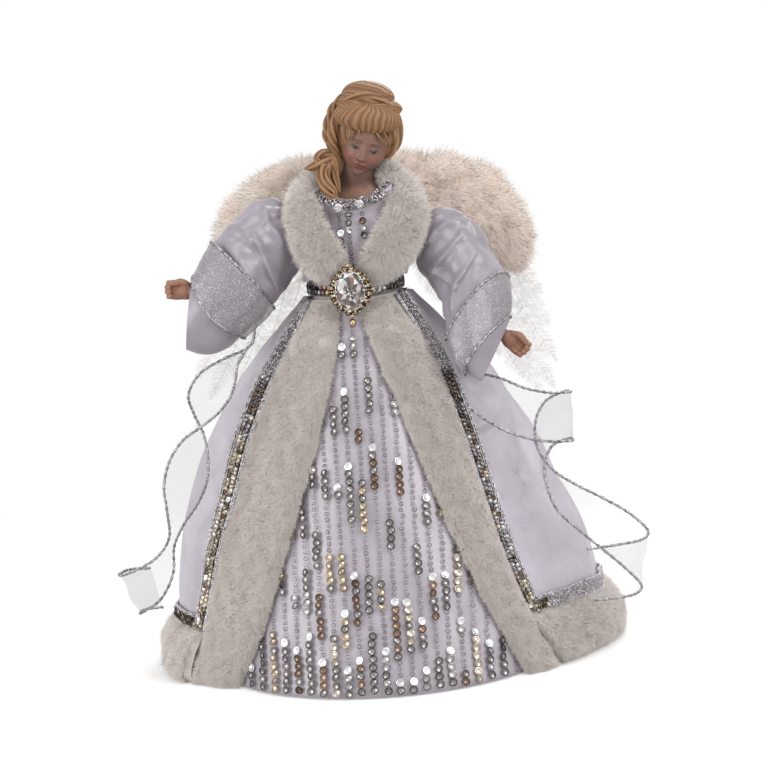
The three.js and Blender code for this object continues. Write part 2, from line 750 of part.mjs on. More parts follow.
// Arms: each row of shares gives the section's top and low point outwards and up from the shoulder pivot.
const arms = {
  left: {
    sign: -1,
    pivot: shoulderPoint(-torsoShoulderHalfWidth - shoulderReachLeft, shoulderRiseLeft),
    rowShares: [
      { to: 0.08, tz: 0.1, ty: 0, lo: -0.05, lz: -0.4, ly: -0.02, d: 0.2 },
      { to: 0.27, tz: 0.05, ty: -0.05, lo: 0.11, lz: -0.6, ly: -0.08, d: 0.24 },
      { to: 0.46, tz: -0.08, ty: -0.11, lo: 0.28, lz: -0.77, ly: -0.15, d: 0.25 },
      { to: 0.59, tz: -0.24, ty: -0.18, lo: 0.49, lz: -0.91, ly: -0.22, d: 0.2 },
      { to: 0.66, tz: -0.35, ty: -0.23, lo: 0.66, lz: -0.95, ly: -0.25, d: 0.15 },
      { to: 0.7, tz: -0.412, ty: -0.25, lo: 0.79, lz: -0.91, ly: -0.25, d: 0.105 },
    ],
    wireShares: [[0.06, -0.02, -0.14], [0.2, -0.05, -0.24], [0.38, -0.135, -0.39]],
    forearmShares: [[0.38, -0.135, -0.39], [0.66, -0.25, -0.505]],
    handShare: [0.755, -0.255, -0.489],
    cuffTopShares: [0.53, 0.985],
    cuffLowShares: [0.28, 0.5],
    cuffBowShares: [0.02, 0.04],
  },
  right: {
    sign: 1,
    pivot: shoulderPoint(torsoShoulderHalfWidth + shoulderReachRight, shoulderRiseRight),
    rowShares: [
      { to: 0.07, tz: 0.08, ty: 0, lo: -0.115, lz: -0.36, ly: -0.02, d: 0.185 },
      { to: 0.28, tz: -0.01, ty: -0.05, lo: 0.02, lz: -0.53, ly: -0.14, d: 0.23 },
      { to: 0.43, tz: -0.22, ty: -0.11, lo: 0.06, lz: -0.68, ly: -0.3, d: 0.22 },
      { to: 0.52, tz: -0.43, ty: -0.16, lo: 0.09, lz: -0.84, ly: -0.43, d: 0.19 },
      { to: 0.54, tz: -0.61, ty: -0.21, lo: 0.16, lz: -1.02, ly: -0.5, d: 0.16 },
      { to: 0.52, tz: -0.75, ty: -0.26, lo: 0.29, lz: -1.13, ly: -0.5, d: 0.1 },
    ],
    wireShares: [[0.05, -0.03, -0.13], [0.16, -0.08, -0.27], [0.28, -0.175, -0.42]],
    forearmShares: [[0.28, -0.175, -0.42], [0.425, -0.3, -0.8]],
    handShare: [0.52, -0.33, -0.88],
    cuffTopShares: [0.56, 0.96],
    cuffLowShares: [0.6, 0.88],
    cuffBowShares: [-0.1, -0.08],
  },
};

function armPoint(arm, out, y, up) {
  const offset = new THREE.Vector3(arm.sign * out, y, up).multiplyScalar(armReach);
  return offset.add(arm.pivot);
}

// A point of the sleeve: s runs from the shoulder to the mouth, turn 0 is the top and 90 the front.
function sleevePoint(arm, s, turn, lift) {
  const row = (key) => through(arm.rowShares.map((r) => r[key]), s);
  const top = armPoint(arm, row("to"), row("ty"), row("tz"));
  const low = armPoint(arm, row("lo"), row("ly"), row("lz"));
  const middle = top.clone().add(low).multiplyScalar(0.5);
  const half = top.clone().sub(low).multiplyScalar(0.5);
  const length = half.length();
  half.multiplyScalar((length + lift) / length);
  const depth = row("d") * armReach + lift;
  const front = new THREE.Vector3(0, -depth, 0);
  return middle.addScaledVector(half, Math.cos(rad(turn))).addScaledVector(front, Math.sin(rad(turn)));
}

function sleeve(arm) {
  const surface = (lift) => (u, v) => sleevePoint(arm, v, 360 * u, lift);
  return shell(surface(0), surface(-sleeveWall), 14, 8, true);
}

function ribbonCuff(arm) {
  const between = (from, to, bow, turn) =>
    lerp(from, to, 0.5 - 0.5 * Math.cos(rad(turn))) + bow * Math.sin(rad(turn));
  const surface = (lift) => (u, v) => {
    const turn = lerp(-12, 172, u);
    const upper = between(arm.cuffTopShares[0], arm.cuffLowShares[0], arm.cuffBowShares[0], turn);
    const lower = between(arm.cuffTopShares[1], arm.cuffLowShares[1], arm.cuffBowShares[1], turn);
    return sleevePoint(arm, lerp(upper, lower, v), turn, layerGap + lift);
  };
  return shell(surface(ribbonThickness), surface(0), 14, 6);
}

function tubeAlong(points, radius, sides, steps) {
  const path = new THREE.CatmullRomCurve3(points);
  const section = new THREE.Shape(
    Array.from({ length: sides }, (_, i) => {
      const a = (2 * Math.PI * i) / sides;
      return new THREE.Vector2(radius * Math.cos(a), radius * Math.sin(a));
    }),
  );
  return new THREE.ExtrudeGeometry(section, { steps, extrudePath: path, bevelEnabled: false });
}

function armWire(arm) {
  return tubeAlong(arm.wireShares.map((p) => armPoint(arm, ...p)), armWireRadius, 8, 8);
}

// A porcelain hand: a tapered forearm, a palm and four curled fingers with a thumb.
function porcelainHand(arm) {
  const [start, wrist] = arm.forearmShares.map((p) => armPoint(arm, ...p));
  const tip = armPoint(arm, ...arm.handShare);
  const along = tip.clone().sub(wrist).normalize();
  const forearmAlong = wrist.clone().sub(start).normalize();
  const across = new THREE.Vector3().crossVectors(forearmAlong, new THREE.Vector3(0, 1, 0)).normalize();
  const deep = new THREE.Vector3().crossVectors(across, forearmAlong).normalize();
  start.addScaledVector(forearmAlong, 2 * seatGap);
  const ringAt = (p, r) =>
    ellipseRing(p, across.clone().multiplyScalar(r), deep.clone().multiplyScalar(r), 12);
  const forearm = loft([ringAt(start, forearmRadius), ringAt(wrist, wristRadius), ringAt(tip, wristRadius)]);
  const palm = new THREE.SphereGeometry(1, 10, 7);
  palm.scale(handHalfLength * 0.8, handHalfLength * 0.5, handHalfLength * 0.72);
  const turn = new THREE.Matrix4().makeRotationY(-Math.atan2(along.z, along.x));
  palm.applyMatrix4(turn).translate(tip.x, tip.y, tip.z);
  const down = new THREE.Vector3(along.z, 0, -along.x).multiplyScalar(arm.sign);
  const fingers = [0, 1, 2, 3].map((i) => {
    const geometry = new THREE.SphereGeometry(1, 6, 4);
    geometry.scale(fingerLength * 0.6, fingerRadius, fingerRadius);
    geometry.applyMatrix4(turn);
    const spread = (i - 1.5) * fingerRadius * 1.5;
    const at = tip.clone().addScaledVector(along, handHalfLength * 0.72).addScaledVector(down, spread);
    return geometry.translate(at.x, at.y - handHalfLength * 0.12, at.z);
  });
  return join([forearm, palm, ...fingers]);
}

// The ribbon's hanging tails: each row gives both edges, from the cuff to the free end, from the waist's height.
const ribbonShares = {
  left: [
    { a: [-0.75, -0.265, -0.195], b: [-0.8, -0.6, -0.33] },
    { a: [-0.8, -0.27, -0.34], b: [-0.86, -0.63, -0.43] },
    { a: [-1.0, -0.3, -0.42], b: [-0.88, -0.64, -0.52] },
    { a: [-1.16, -0.36, -0.5], b: [-0.93, -0.63, -0.64] },
    { a: [-1.25, -0.37, -0.64], b: [-1.02, -0.65, -0.74] },
    { a: [-1.23, -0.33, -0.78], b: [-1.14, -0.68, -0.82] },
    { a: [-1.18, -0.31, -0.93], b: [-1.27, -0.67, -0.9] },
    { a: [-1.16, -0.36, -1.1], b: [-1.38, -0.66, -1.04] },
    { a: [-1.18, -0.4, -1.25], b: [-1.43, -0.69, -1.21] },
    { a: [-1.26, -0.39, -1.4], b: [-1.42, -0.72, -1.39] },
    { a: [-1.38, -0.34, -1.55], b: [-1.43, -0.7, -1.56] },
    { a: [-1.46, -0.34, -1.7], b: [-1.53, -0.69, -1.69] },
    { a: [-1.47, -0.42, -1.86], b: [-1.69, -0.69, -1.77] },
    { a: [-1.56, -0.54, -2.02], b: [-1.78, -0.72, -1.79] },
    { a: [-1.7, -0.56, -2.1], b: [-1.8, -0.66, -1.79] },
    { a: [-1.7, -0.42, -2.11], b: [-1.75, -0.54, -1.79] },
    { a: [-1.58, -0.34, -2.12], b: [-1.62, -0.46, -1.81] },
  ],
  right: [
    { a: [0.6, -0.42, -0.505], b: [0.635, -0.66, -0.72] },
    { a: [0.74, -0.36, -0.635], b: [0.67, -0.66, -0.82] },
    { a: [0.9, -0.4, -0.69], b: [0.76, -0.67, -0.91] },
    { a: [1.06, -0.47, -0.76], b: [0.93, -0.68, -1.02] },
    { a: [1.23, -0.5, -0.8], b: [1.14, -0.7, -1.09] },
    { a: [1.36, -0.46, -0.81], b: [1.34, -0.66, -1.11] },
    { a: [1.32, -0.36, -0.82], b: [1.33, -0.56, -1.11] },
    { a: [1.19, -0.33, -0.88], b: [1.21, -0.57, -1.15] },
    { a: [1.11, -0.36, -1.01], b: [1.15, -0.63, -1.26] },
    { a: [1.11, -0.4, -1.19], b: [1.15, -0.69, -1.41] },
    { a: [1.2, -0.43, -1.34], b: [1.21, -0.72, -1.57] },
    { a: [1.35, -0.46, -1.45], b: [1.33, -0.72, -1.7] },
    { a: [1.52, -0.48, -1.55], b: [1.47, -0.71, -1.84] },
    { a: [1.71, -0.5, -1.68], b: [1.63, -0.69, -2] },
    { a: [1.81, -0.56, -1.79], b: [1.73, -0.74, -2.12] },
    { a: [1.76, -0.66, -1.82], b: [1.68, -0.83, -2.15] },
    { a: [1.58, -0.77, -1.82], b: [1.52, -0.91, -2.15] },
    { a: [1.38, -0.84, -1.82], b: [1.37, -0.96, -2.14] },
  ],
};

function ribbonTail(rows) {
  const pointOf = (row, key) => new THREE.Vector3(...row[key]).multiplyScalar(ribbonReach).add(waist);
  const edge = (key) => new THREE.CatmullRomCurve3(rows.map((row) => pointOf(row, key)));
  const [a, b] = [edge("a"), edge("b")];
  const at = (u, v) => a.getPoint(clamp(v, 0, 1)).lerp(b.getPoint(clamp(v, 0, 1)), u);
  const surface = (side) => (u, v) => {
    const across = at(1, v).sub(at(0, v));
    const along = at(u, v + 0.004).sub(at(u, v - 0.004));
    const out = across.cross(along).normalize();
    return at(u, v).addScaledVector(out, (side * ribbonThickness) / 2);
  };
  return shell(surface(1), surface(-1), 3, (rows.length - 1) * 3);
}

// Wings: rows from root to tip give the lower and upper edge, from the board's middle, and the thickness.
const wingShares = {
  left: [
    { x: -0.07, lo: 0.083, hi: 0.323, d: 0.35 },
    { x: -0.2, lo: -0.017, hi: 0.483, d: 0.7 },
    { x: -0.38, lo: -0.117, hi: 0.513, d: 0.95 },
    { x: -0.56, lo: -0.217, hi: 0.463, d: 1 },
    { x: -0.72, lo: -0.297, hi: 0.363, d: 1 },
    { x: -0.83, lo: -0.337, hi: 0.203, d: 0.85 },
    { x: -0.91, lo: -0.297, hi: 0.023, d: 0.55 },
    { x: -0.95, lo: -0.217, hi: -0.077, d: 0.2 },
  ],
  right: [
    { x: 0.07, lo: 0.083, hi: 0.323, d: 0.35 },
    { x: 0.2, lo: -0.017, hi: 0.483, d: 0.7 },
    { x: 0.4, lo: -0.097, hi: 0.483, d: 0.95 },
    { x: 0.58, lo: -0.197, hi: 0.453, d: 1 },
    { x: 0.75, lo: -0.257, hi: 0.383, d: 1 },
    { x: 0.86, lo: -0.287, hi: 0.273, d: 0.85 },
    { x: 0.94, lo: -0.237, hi: 0.103, d: 0.55 },
    { x: 0.98, lo: -0.137, hi: 0.003, d: 0.2 },
  ],
};

function wing(rows) {
  const count = 12;
  const rings = [];
  for (let i = 0; i <= count; i++) {
    const [x, lo, hi, d] = ["x", "lo", "hi", "d"].map((k) => through(rows.map((r) => r[k]), i / count));
    const centre = new THREE.Vector3(x, 0, (lo + hi) / 2).multiplyScalar(wingReach);
    centre.y = wingFrontY + wingHalfThickness * d;
    centre.z += wingBoardZ;
    const up = new THREE.Vector3(0, 0, ((hi - lo) / 2) * wingReach);
    rings.push(ellipseRing(centre, up, new THREE.Vector3(0, d * wingHalfThickness, 0), 14));
  }
  return loft(rings);
}

function plate(outline, thickness, y) {
  const shape = new THREE.Shape(outline.map(([x, z]) => new THREE.Vector2(x, z)));
  const geometry = new THREE.ExtrudeGeometry(shape, { depth: thickness, bevelEnabled: false });
  return geometry.rotateX(Math.PI / 2).translate(0, y + thickness, 0);
}

function wingBoard() {
  const [w, h, r] = [wingBoardHalfWidth, wingBoardHeight / 2, wingBoardHalfWidth / 3];
  const right = [[w - r, -h], [w, -h + r], [w, h - r], [w - r, h]];
  const left = right.map(([x, z]) => [-x, -z]);
  const outline = [...right, ...left].map(([x, z]) => [x, wingBoardZ + z]);
  return plate(outline, wingBoardThickness, boardY);
}

const boardY = yokeHalfDepth + seatGap;
const wingFrontY = boardY + wingBoardThickness + seatGap;
const featherY = wingFrontY + 2 * wingHalfThickness + seatGap;
const featherShares = {
  left: [
    [-0.35, 0.083], [-0.2, -0.067], [-0.45, -0.437], [-0.62, -0.797], [-0.8, -0.897], [-0.92, -0.837],
    [-1.04, -0.917], [-1.12, -0.857], [-1.13, -0.667], [-1.07, -0.367], [-0.95, -0.067], [-0.7, 0.083],
  ],
  right: [
    [0.35, 0.083], [0.2, -0.067], [0.45, -0.417], [0.62, -0.737], [0.8, -0.897], [0.9, -0.917],
    [1.0, -1.037], [1.08, -1.057], [1.1, -0.817], [1.04, -0.417], [0.95, -0.067], [0.7, 0.083],
  ],
};

function featherFan(side) {
  const outline = featherShares[side].map(([x, z]) => [x * wingReach, wingBoardZ + z * wingReach]);
  return plate(outline, featherThickness, featherY);
}

// The coat's satin back above the belt, round the torso from one lapel to the other.
function coatYoke() {
  const bottom = waistHeight + beltHeight / 2 + seatGap;
  const surface = (inset) => (u, v) => {
    const angle = rad(lerp(62, 298, u));
    const z = lerp(bottom, torsoTop - yokeTopDrop, v);
    const middle = waistShift * (1 - v);
    const [wide, deep] = [yokeHalfWidth - inset, yokeHalfDepth - inset];
    return new THREE.Vector3(middle + wide * Math.sin(angle), -deep * Math.cos(angle), z);
  };
  return shell(surface(0), surface(yokeWall), 20, 4);
}

// Materials

function finish(color, roughness, metalness = 0) {
  return new THREE.MeshStandardMaterial({ color, roughness, metalness });
}

const materials = {
  card: finish(0xb9a98c, 0.9),
  stuffing: finish(0xe8e4dc, 0.95),
  satin: finish(0xd9d4e2, 0.35),
  fur: finish(0xd6cdc2, 0.95),
  skin: finish(0xc89674, 0.6),
  sequin: finish(0xb9b2a6, 0.3, 0.8),
  silver: finish(0xb4b2b4, 0.3, 0.9),
  gold: finish(0xa68a5a, 0.35, 0.9),
  crystal: finish(0xe6ecf2, 0.05),
  wire: finish(0x8f8c88, 0.4, 0.9),
  organza: finish(0xd4d0d8, 0.3),
  marabou: finish(0xe8d9c8, 0.95),
  feather: finish(0xf2f0ea, 0.9),
};

// Assembly

const topper = new THREE.Group();

function add(name, geometry, material, parent = topper) {
  const mesh = new THREE.Mesh(geometry, materials[material]);
  mesh.name = name;
  parent.add(mesh);
}

const edgeOf = { left: coatEdgeAngleLeft, right: coatEdgeAngleRight };
const innerOf = { left: furInnerLeftAngles, right: furInnerRightAngles };
const hemSeat = furHemHeight + seatGap;

add("cone_core", coneCore(), "card");
add("torso_form", torsoForm(), "stuffing");
add("coat_yoke", coatYoke(), "satin");
add("porcelain_bust", porcelainBust(), "skin");
add("bodice_panel", bodicePanel(), "satin");
add("underskirt", underskirt(), "satin");
for (const side of ["left", "right"]) {
  const edge = edgeOf[side];
  const sign = Math.sign(edge);
  const seam = sign * (foldSideAngle - seamGapAngle / 2);
  add("coat_" + side, coatPanel((t) => coatEdge(edge, t), () => seam, hemSeat), "satin");
  add("fur_front_" + side, furFront(innerOf[side], edge), "fur");
  add("fur_hem_" + side, furHem(edge), "fur");
  add("braid_front_" + side, braidFront(edge), "sequin");
  add("braid_hem_" + side, braidHem(edge), "sequin");
  add("fur_collar_" + side, furCollar(side), "fur");
}
add("coat_back", coatPanel(() => foldSideAngle, () => 360 - foldSideAngle, hemSeat), "satin");
add("neckline_braid", necklineBraid(), "silver");
for (const [side, x, z] of jewelShares) {
  const y = -0.366 * collarReach - necklineThickness / 2 - seatGap;
  add("neck_jewel_" + side, neckJewel(x * collarReach, y, waistHeight + z * collarReach), "crystal");
}
add("belt", belt(), "sequin");
add("brooch_frame", broochFrame(), "gold");
add("brooch_stone", broochStone(), "crystal");
add("brooch_drop", broochDrop(), "gold");
for (const side of ["left", "right"]) {
  const arm = arms[side];
  add("arm_wire_" + side, armWire(arm), "wire");
  add("hand_" + side, porcelainHand(arm), "skin");
  add("sleeve_" + side, sleeve(arm), "satin");
  add("ribbon_cuff_" + side, ribbonCuff(arm), "organza");
  add("ribbon_tail_" + side, ribbonTail(ribbonShares[side]), "organza");
  add("wing_" + side, wing(wingShares[side]), "marabou");
  add("long_feathers_" + side, featherFan(side), "feather");
}
add("wing_board", wingBoard(), "card");

export default topper;
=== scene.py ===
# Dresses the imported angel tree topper: fur, satin, sequins, organza, feathers and a painted porcelain bust.
# Shapes are worked out in millimetres, +Z up, front towards -Y, and every mesh is made in metres.
import math
from functools import partial

import bpy
import numpy as np
from mathutils import Matrix, Vector


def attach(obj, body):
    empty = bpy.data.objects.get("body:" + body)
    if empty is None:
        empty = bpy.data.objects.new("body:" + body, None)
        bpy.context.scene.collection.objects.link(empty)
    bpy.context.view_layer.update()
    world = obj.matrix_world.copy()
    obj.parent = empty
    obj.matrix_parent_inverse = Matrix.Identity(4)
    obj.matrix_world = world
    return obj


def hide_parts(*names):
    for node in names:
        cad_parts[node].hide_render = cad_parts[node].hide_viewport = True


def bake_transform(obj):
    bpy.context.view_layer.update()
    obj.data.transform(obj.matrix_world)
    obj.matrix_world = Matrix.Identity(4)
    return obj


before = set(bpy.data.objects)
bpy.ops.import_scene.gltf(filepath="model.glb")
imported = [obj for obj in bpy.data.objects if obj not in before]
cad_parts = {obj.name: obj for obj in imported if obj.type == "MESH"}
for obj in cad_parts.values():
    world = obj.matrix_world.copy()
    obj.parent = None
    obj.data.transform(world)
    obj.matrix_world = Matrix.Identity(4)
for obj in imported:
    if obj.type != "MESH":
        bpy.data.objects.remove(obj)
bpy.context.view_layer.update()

MM = 0.001


# Numbers

def lerp(a, b, t):
    return a + (b - a) * t


def smoothstep(x, a, b):
    t = np.clip((x - a) / (b - a), 0, 1)
    return t * t * (3 - 2 * t)


def through(shares, t):
    """A smooth value through evenly spaced shares; shares may be rows of several values."""
    shares = np.asarray(shares, float)
    t = np.asarray(t, float)
    last = len(shares) - 1
    at = np.clip(t, 0, 1) * last
    i = np.minimum(np.floor(at).astype(int), last - 1)
    k = at - i
    if shares.ndim > 1:
        k = k[..., None]
    p0, p1, p2, p3 = (shares[np.clip(i + d, 0, last)] for d in (-1, 0, 1, 2))
    m1, m2 = (p2 - p0) / 2, (p3 - p1) / 2
    return ((2 * k**3 - 3 * k**2 + 1) * p1 + (k**3 - 2 * k**2 + k) * m1
            + (3 * k**2 - 2 * k**3) * p2 + (k**3 - k**2) * m2)


def unit(v):
    return v / np.maximum(np.linalg.norm(v, axis=-1, keepdims=True), 1e-9)


def around_once(count):
    """Evenly spaced angles of one turn, in radians."""
    return np.arange(count) / count * 2 * math.pi


def ripple(p, size, seed, count=6):
    """Smooth noise of about unit height, with features of the given size in millimetres."""
    own = np.random.default_rng(seed)
    waves = unit(own.normal(size=(count, 3))) * own.uniform(0.7, 1.5, (count, 1)) * 2 * math.pi / size
    phases = own.uniform(0, 2 * math.pi, count)
    return np.sin(p @ waves.T + phases).sum(-1) * math.sqrt(2 / count)


def rotation(yaw, tilt, pitch):
    """Turns about the head's own axis, then nods, then tilts to the side."""
    turn = Matrix.Rotation(math.radians(tilt), 3, "Y") @ Matrix.Rotation(math.radians(pitch), 3, "X")
    return np.array(turn @ Matrix.Rotation(math.radians(yaw), 3, "Z"))


# Meshes

def linear(colour):
    c = np.asarray(colour, float) / 255
    return np.where(c <= 0.04045, c / 12.92, ((c + 0.055) / 1.055) ** 2.4)


def make(name, points, faces, material, smooth=True, values=None, colours=None, normals=None):
    """A mesh object from points in millimetres and arrays of faces of three or four corners."""
    points = np.asarray(points, float).reshape(-1, 3)
    faces = [np.asarray(f, np.int32) for f in faces if len(f)]
    mesh = bpy.data.meshes.new(name)
    mesh.vertices.add(len(points))
    mesh.vertices.foreach_set("co", (points * MM).astype(np.float32).ravel())
    sizes = np.concatenate([np.full(len(f), f.shape[1], np.int32) for f in faces])
    mesh.loops.add(int(sizes.sum()))
    mesh.loops.foreach_set("vertex_index", np.concatenate([f.ravel() for f in faces]))
    mesh.polygons.add(len(sizes))
    mesh.polygons.foreach_set("loop_start", np.concatenate([[0], np.cumsum(sizes)[:-1]]).astype(np.int32))
    mesh.polygons.foreach_set("use_smooth", np.full(len(sizes), smooth))
    mesh.update(calc_edges=True)
    for key, value in (values or {}).items():
        attribute = mesh.attributes.new(key, "FLOAT", "POINT")
        attribute.data.foreach_set("value", np.asarray(value, np.float32).ravel())
    if colours is not None:
        attribute = mesh.attributes.new("paint", "FLOAT_COLOR", "POINT")
        rgba = np.ones((len(points), 4), np.float32)
        rgba[:, :3] = colours
        attribute.data.foreach_set("color", rgba.ravel())
    if normals is not None:
        mesh.normals_split_custom_set_from_vertices(unit(np.asarray(normals, float)).astype(np.float32))
    mesh.materials.append(material)
    thing = bpy.data.objects.new(name, mesh)
    bpy.context.scene.collection.objects.link(thing)
    return thing


def settle(piece, body, slot, *nodes):
    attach(piece, body)
    if nodes:
        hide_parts(*nodes)
    return piece


def grid(surface, nu, nv, ring=False):
    """The points of a surface of u and v from 0 to 1, as an array of columns and rows."""
    u = np.arange(nu if ring else nu + 1) / nu
    v = np.arange(nv + 1) / nv
    return surface(*np.meshgrid(u, v, indexing="ij"))


def grid_faces(shape, ring=False, first=0, flip=False):
    columns, rows = shape[:2]
    i, j = np.meshgrid(np.arange(columns if ring else columns - 1), np.arange(rows - 1), indexing="ij")
    a, b = i * rows + j, (i + 1) % columns * rows + j
    order = [a, a + 1, b + 1, b] if flip else [a, b, b + 1, a + 1]
    return first + np.stack(order, -1).reshape(-1, 4)


def grid_normals(p, ring=False):
    if ring:
        du = np.roll(p, -1, 0) - np.roll(p, 1, 0)
    else:
        du = np.gradient(p, axis=0)
    return unit(np.cross(du, np.gradient(p, axis=1)))


def shell(outer, inner, ring=False):
    """Points and faces of a closed thin body between two grids of the same shape."""
    columns, rows = outer.shape[:2]
    side = columns * rows
    faces = [grid_faces(outer.shape, ring), grid_faces(outer.shape, ring, side, True)]
    i = np.arange(columns if ring else columns - 1)
    a, b = i * rows, (i + 1) % columns * rows
    last = rows - 1
    faces.append(np.stack([side + a, side + b, b, a], -1))
    faces.append(np.stack([a + last, b + last, side + b + last, side + a + last], -1))
    if not ring:
        j = np.arange(rows - 1)
        far = (columns - 1) * rows
        faces.append(np.stack([j, j + 1, side + j + 1, side + j], -1))
        faces.append(np.stack([far + j + 1, far + j, side + far + j, side + far + j + 1], -1))
    return np.concatenate([outer.reshape(-1, 3), inner.reshape(-1, 3)]), faces


def turned_out(faces, out):
    """Turns faces round where out is -1, because the grid that they come from faces inwards."""
    return [f[:, ::-1] for f in faces] if out < 0 else faces


def cloth(name, surface, nu, nv, thickness, material, ring=False, inward=1.0):
    """A closed thin cloth whose outer face is the surface; inward is -1 where its normals point in."""
    outer = grid(surface, nu, nv, ring)
    points, faces = shell(outer, outer - grid_normals(outer, ring) * thickness * inward, ring)
    return make(name, points, turned_out(faces, inward), material)


def scatter(template, faces, origins, frames, scales):
    """Copies of a small template at many places: frames holds its three axes for each place."""
    count, size = len(origins), len(template)
    scales = np.asarray(scales, float)
    if scales.ndim == 1:
        scales = scales[:, None]
    shaped = np.broadcast_to(template[None] * scales[:, None, :], (count, size, 3))
    points = origins[:, None] + np.einsum("nij,njk->nik", shaped, frames)
    shift = (np.arange(count) * size)[:, None, None]
    return points.reshape(-1, 3), [(f[None] + shift).reshape(-1, f.shape[1]) for f in faces]


def frames_from(normals, along):
    normals, along = np.broadcast_arrays(np.atleast_2d(normals), np.atleast_2d(along))
    z = unit(normals)
    y = unit(along - (along * z).sum(-1, keepdims=True) * z)
    return np.stack([np.cross(y, z), y, z], 1)


def tube(centres, radii, sides=12, out=None, flat=1.0, turn=0.0, lobes=0, lobe_depth=0.0):
    """A grid round a centre line; flat squeezes it towards the line's own out direction."""
    centres = np.asarray(centres, float)
    count = len(centres)
    radii = np.broadcast_to(np.asarray(radii, float), (count,))
    along = unit(np.gradient(centres, axis=0))
    if out is None:
        out = np.zeros_like(centres)
        out[0] = unit(np.cross(along[0], [0.3, 0.2, 1.0]))
        for i in range(1, count):
            out[i] = unit(out[i - 1] - along[i] * (out[i - 1] @ along[i]))
    side = unit(np.cross(along, out))
    out = unit(np.cross(side, along))
    a = around_once(sides)
    twist = np.broadcast_to(np.asarray(turn, float), (count,))[:, None]
    grown = radii[:, None] * (1 + lobe_depth * np.cos(lobes * (a[None] - twist)))
    ring = (side[:, None] * np.cos(a)[None, :, None] * grown[..., None]
            + out[:, None] * np.sin(a)[None, :, None] * grown[..., None] * flat)
    return (centres[:, None] + ring).transpose(1, 0, 2)


def capped(p):
    """Points and faces of a ring grid closed at both ends."""
    columns, rows = p.shape[:2]
    faces = [grid_faces(p.shape, True)]
    middle = np.stack([p[:, 0].mean(0), p[:, -1].mean(0)])
    i = np.arange(columns)
    a, b = i * rows, (i + 1) % columns * rows
    start, end = np.full(columns, columns * rows), np.full(columns, columns * rows + 1)
    faces.append(np.stack([b, a, start], -1))
    faces.append(np.stack([a + rows - 1, b + rows - 1, end], -1))
    return np.concatenate([p.reshape(-1, 3), middle]), faces


def gather(parts):
    """Joins several (points, faces) into one."""
    points, faces, first = [], [], 0
    for p, f in parts:
        points.append(p.reshape(-1, 3))
        faces.extend(x + first for x in f)
        first += len(points[-1])
    return np.concatenate(points), faces


def spline(rows, count):
    return through(rows, np.linspace(0, 1, count))


def along_radii(radii, count):
    return spline(np.array(radii)[:, None], count)[:, 0]


# Materials

def material(name, **sockets):
    made = bpy.data.materials.new(name)
    made.use_nodes = True
    shader = made.node_tree.nodes["Principled BSDF"]
    for key, value in sockets.items():
        socket = shader.inputs[key.replace("_", " ")]
        if isinstance(value, (tuple, list, np.ndarray)) and len(value) == 3:
            value = (*value, 1)
        socket.default_value = value
    return made, made.node_tree.nodes, made.node_tree.links, shader


def node(nodes, kind, **facts):
    made = nodes.new("ShaderNode" + kind)
    for key, value in facts.items():
        if hasattr(made, key):
            setattr(made, key, value)
        else:
            made.inputs[key].default_value = value
    return made


def noise_of(nodes, links, scale, detail=3.0, stretch=(1, 1, 1), roughness=0.55):
    place = node(nodes, "TexCoord")
    mapping = node(nodes, "Mapping")
    mapping.inputs["Scale"].default_value = stretch
    links.new(place.outputs["Object"], mapping.inputs["Vector"])
    made = node(nodes, "TexNoise", Scale=scale, Detail=detail, Roughness=roughness)
    links.new(mapping.outputs["Vector"], made.inputs["Vector"])
    return made.outputs["Fac"]


def ramp_of(nodes, links, value, stops):
    made = node(nodes, "ValToRGB")
    ramp = made.color_ramp
    while len(ramp.elements) < len(stops):
        ramp.elements.new(0.5)
    for element, (place, colour) in zip(ramp.elements, stops):
        element.position = place
        element.color = (*linear(colour), 1)
    links.new(value, made.inputs["Fac"])
    return made.outputs["Color"]


def mix_of(nodes, links, how, factor, a, b):
    made = node(nodes, "Mix", data_type="RGBA", blend_type=how)
    for socket, value in ((0, factor), (6, a), (7, b)):
        if isinstance(value, bpy.types.NodeSocket):
            links.new(value, made.inputs[socket])
        elif socket == 0:
            made.inputs[0].default_value = value
        else:
            made.inputs[socket].default_value = (*value, 1)
    return made.outputs[2]


def bump_of(nodes, links, shader, parts):
    """Adds up heights: parts is a list of (value, strength, distance in metres)."""
    normal = None
    for value, strength, distance in parts:
        made = node(nodes, "Bump", Strength=strength, Distance=distance)
        links.new(value, made.inputs["Height"])
        if normal is not None:
            links.new(normal, made.inputs["Normal"])
        normal = made.outputs["Normal"]
    links.new(normal, shader.inputs["Normal"])


def attribute_of(nodes, name):
    made = node(nodes, "Attribute", attribute_name=name)
    return made


def threads_of(nodes, links, place, scale, distortion):
    """Fine waves across and along the cloth, as threads lie in a weave."""
    threads = []
    for axis in ("X", "Z"):
        wave = node(nodes, "TexWave", bands_direction=axis, Scale=scale, Distortion=distortion)
        links.new(place.outputs["Object"], wave.inputs["Vector"])
        threads.append(wave.outputs["Fac"])
    return threads


def fade_of(nodes, links, value, low, high, start=0.0, end=1.0):
    """Goes smoothly from start to end as the value goes from low to high."""
    made = node(nodes, "MapRange", interpolation_type="SMOOTHSTEP")
    for key, number in (("From Min", low), ("From Max", high), ("To Min", start), ("To Max", end)):
        made.inputs[key].default_value = number
    links.new(value, made.inputs["Value"])
    return made.outputs["Result"]


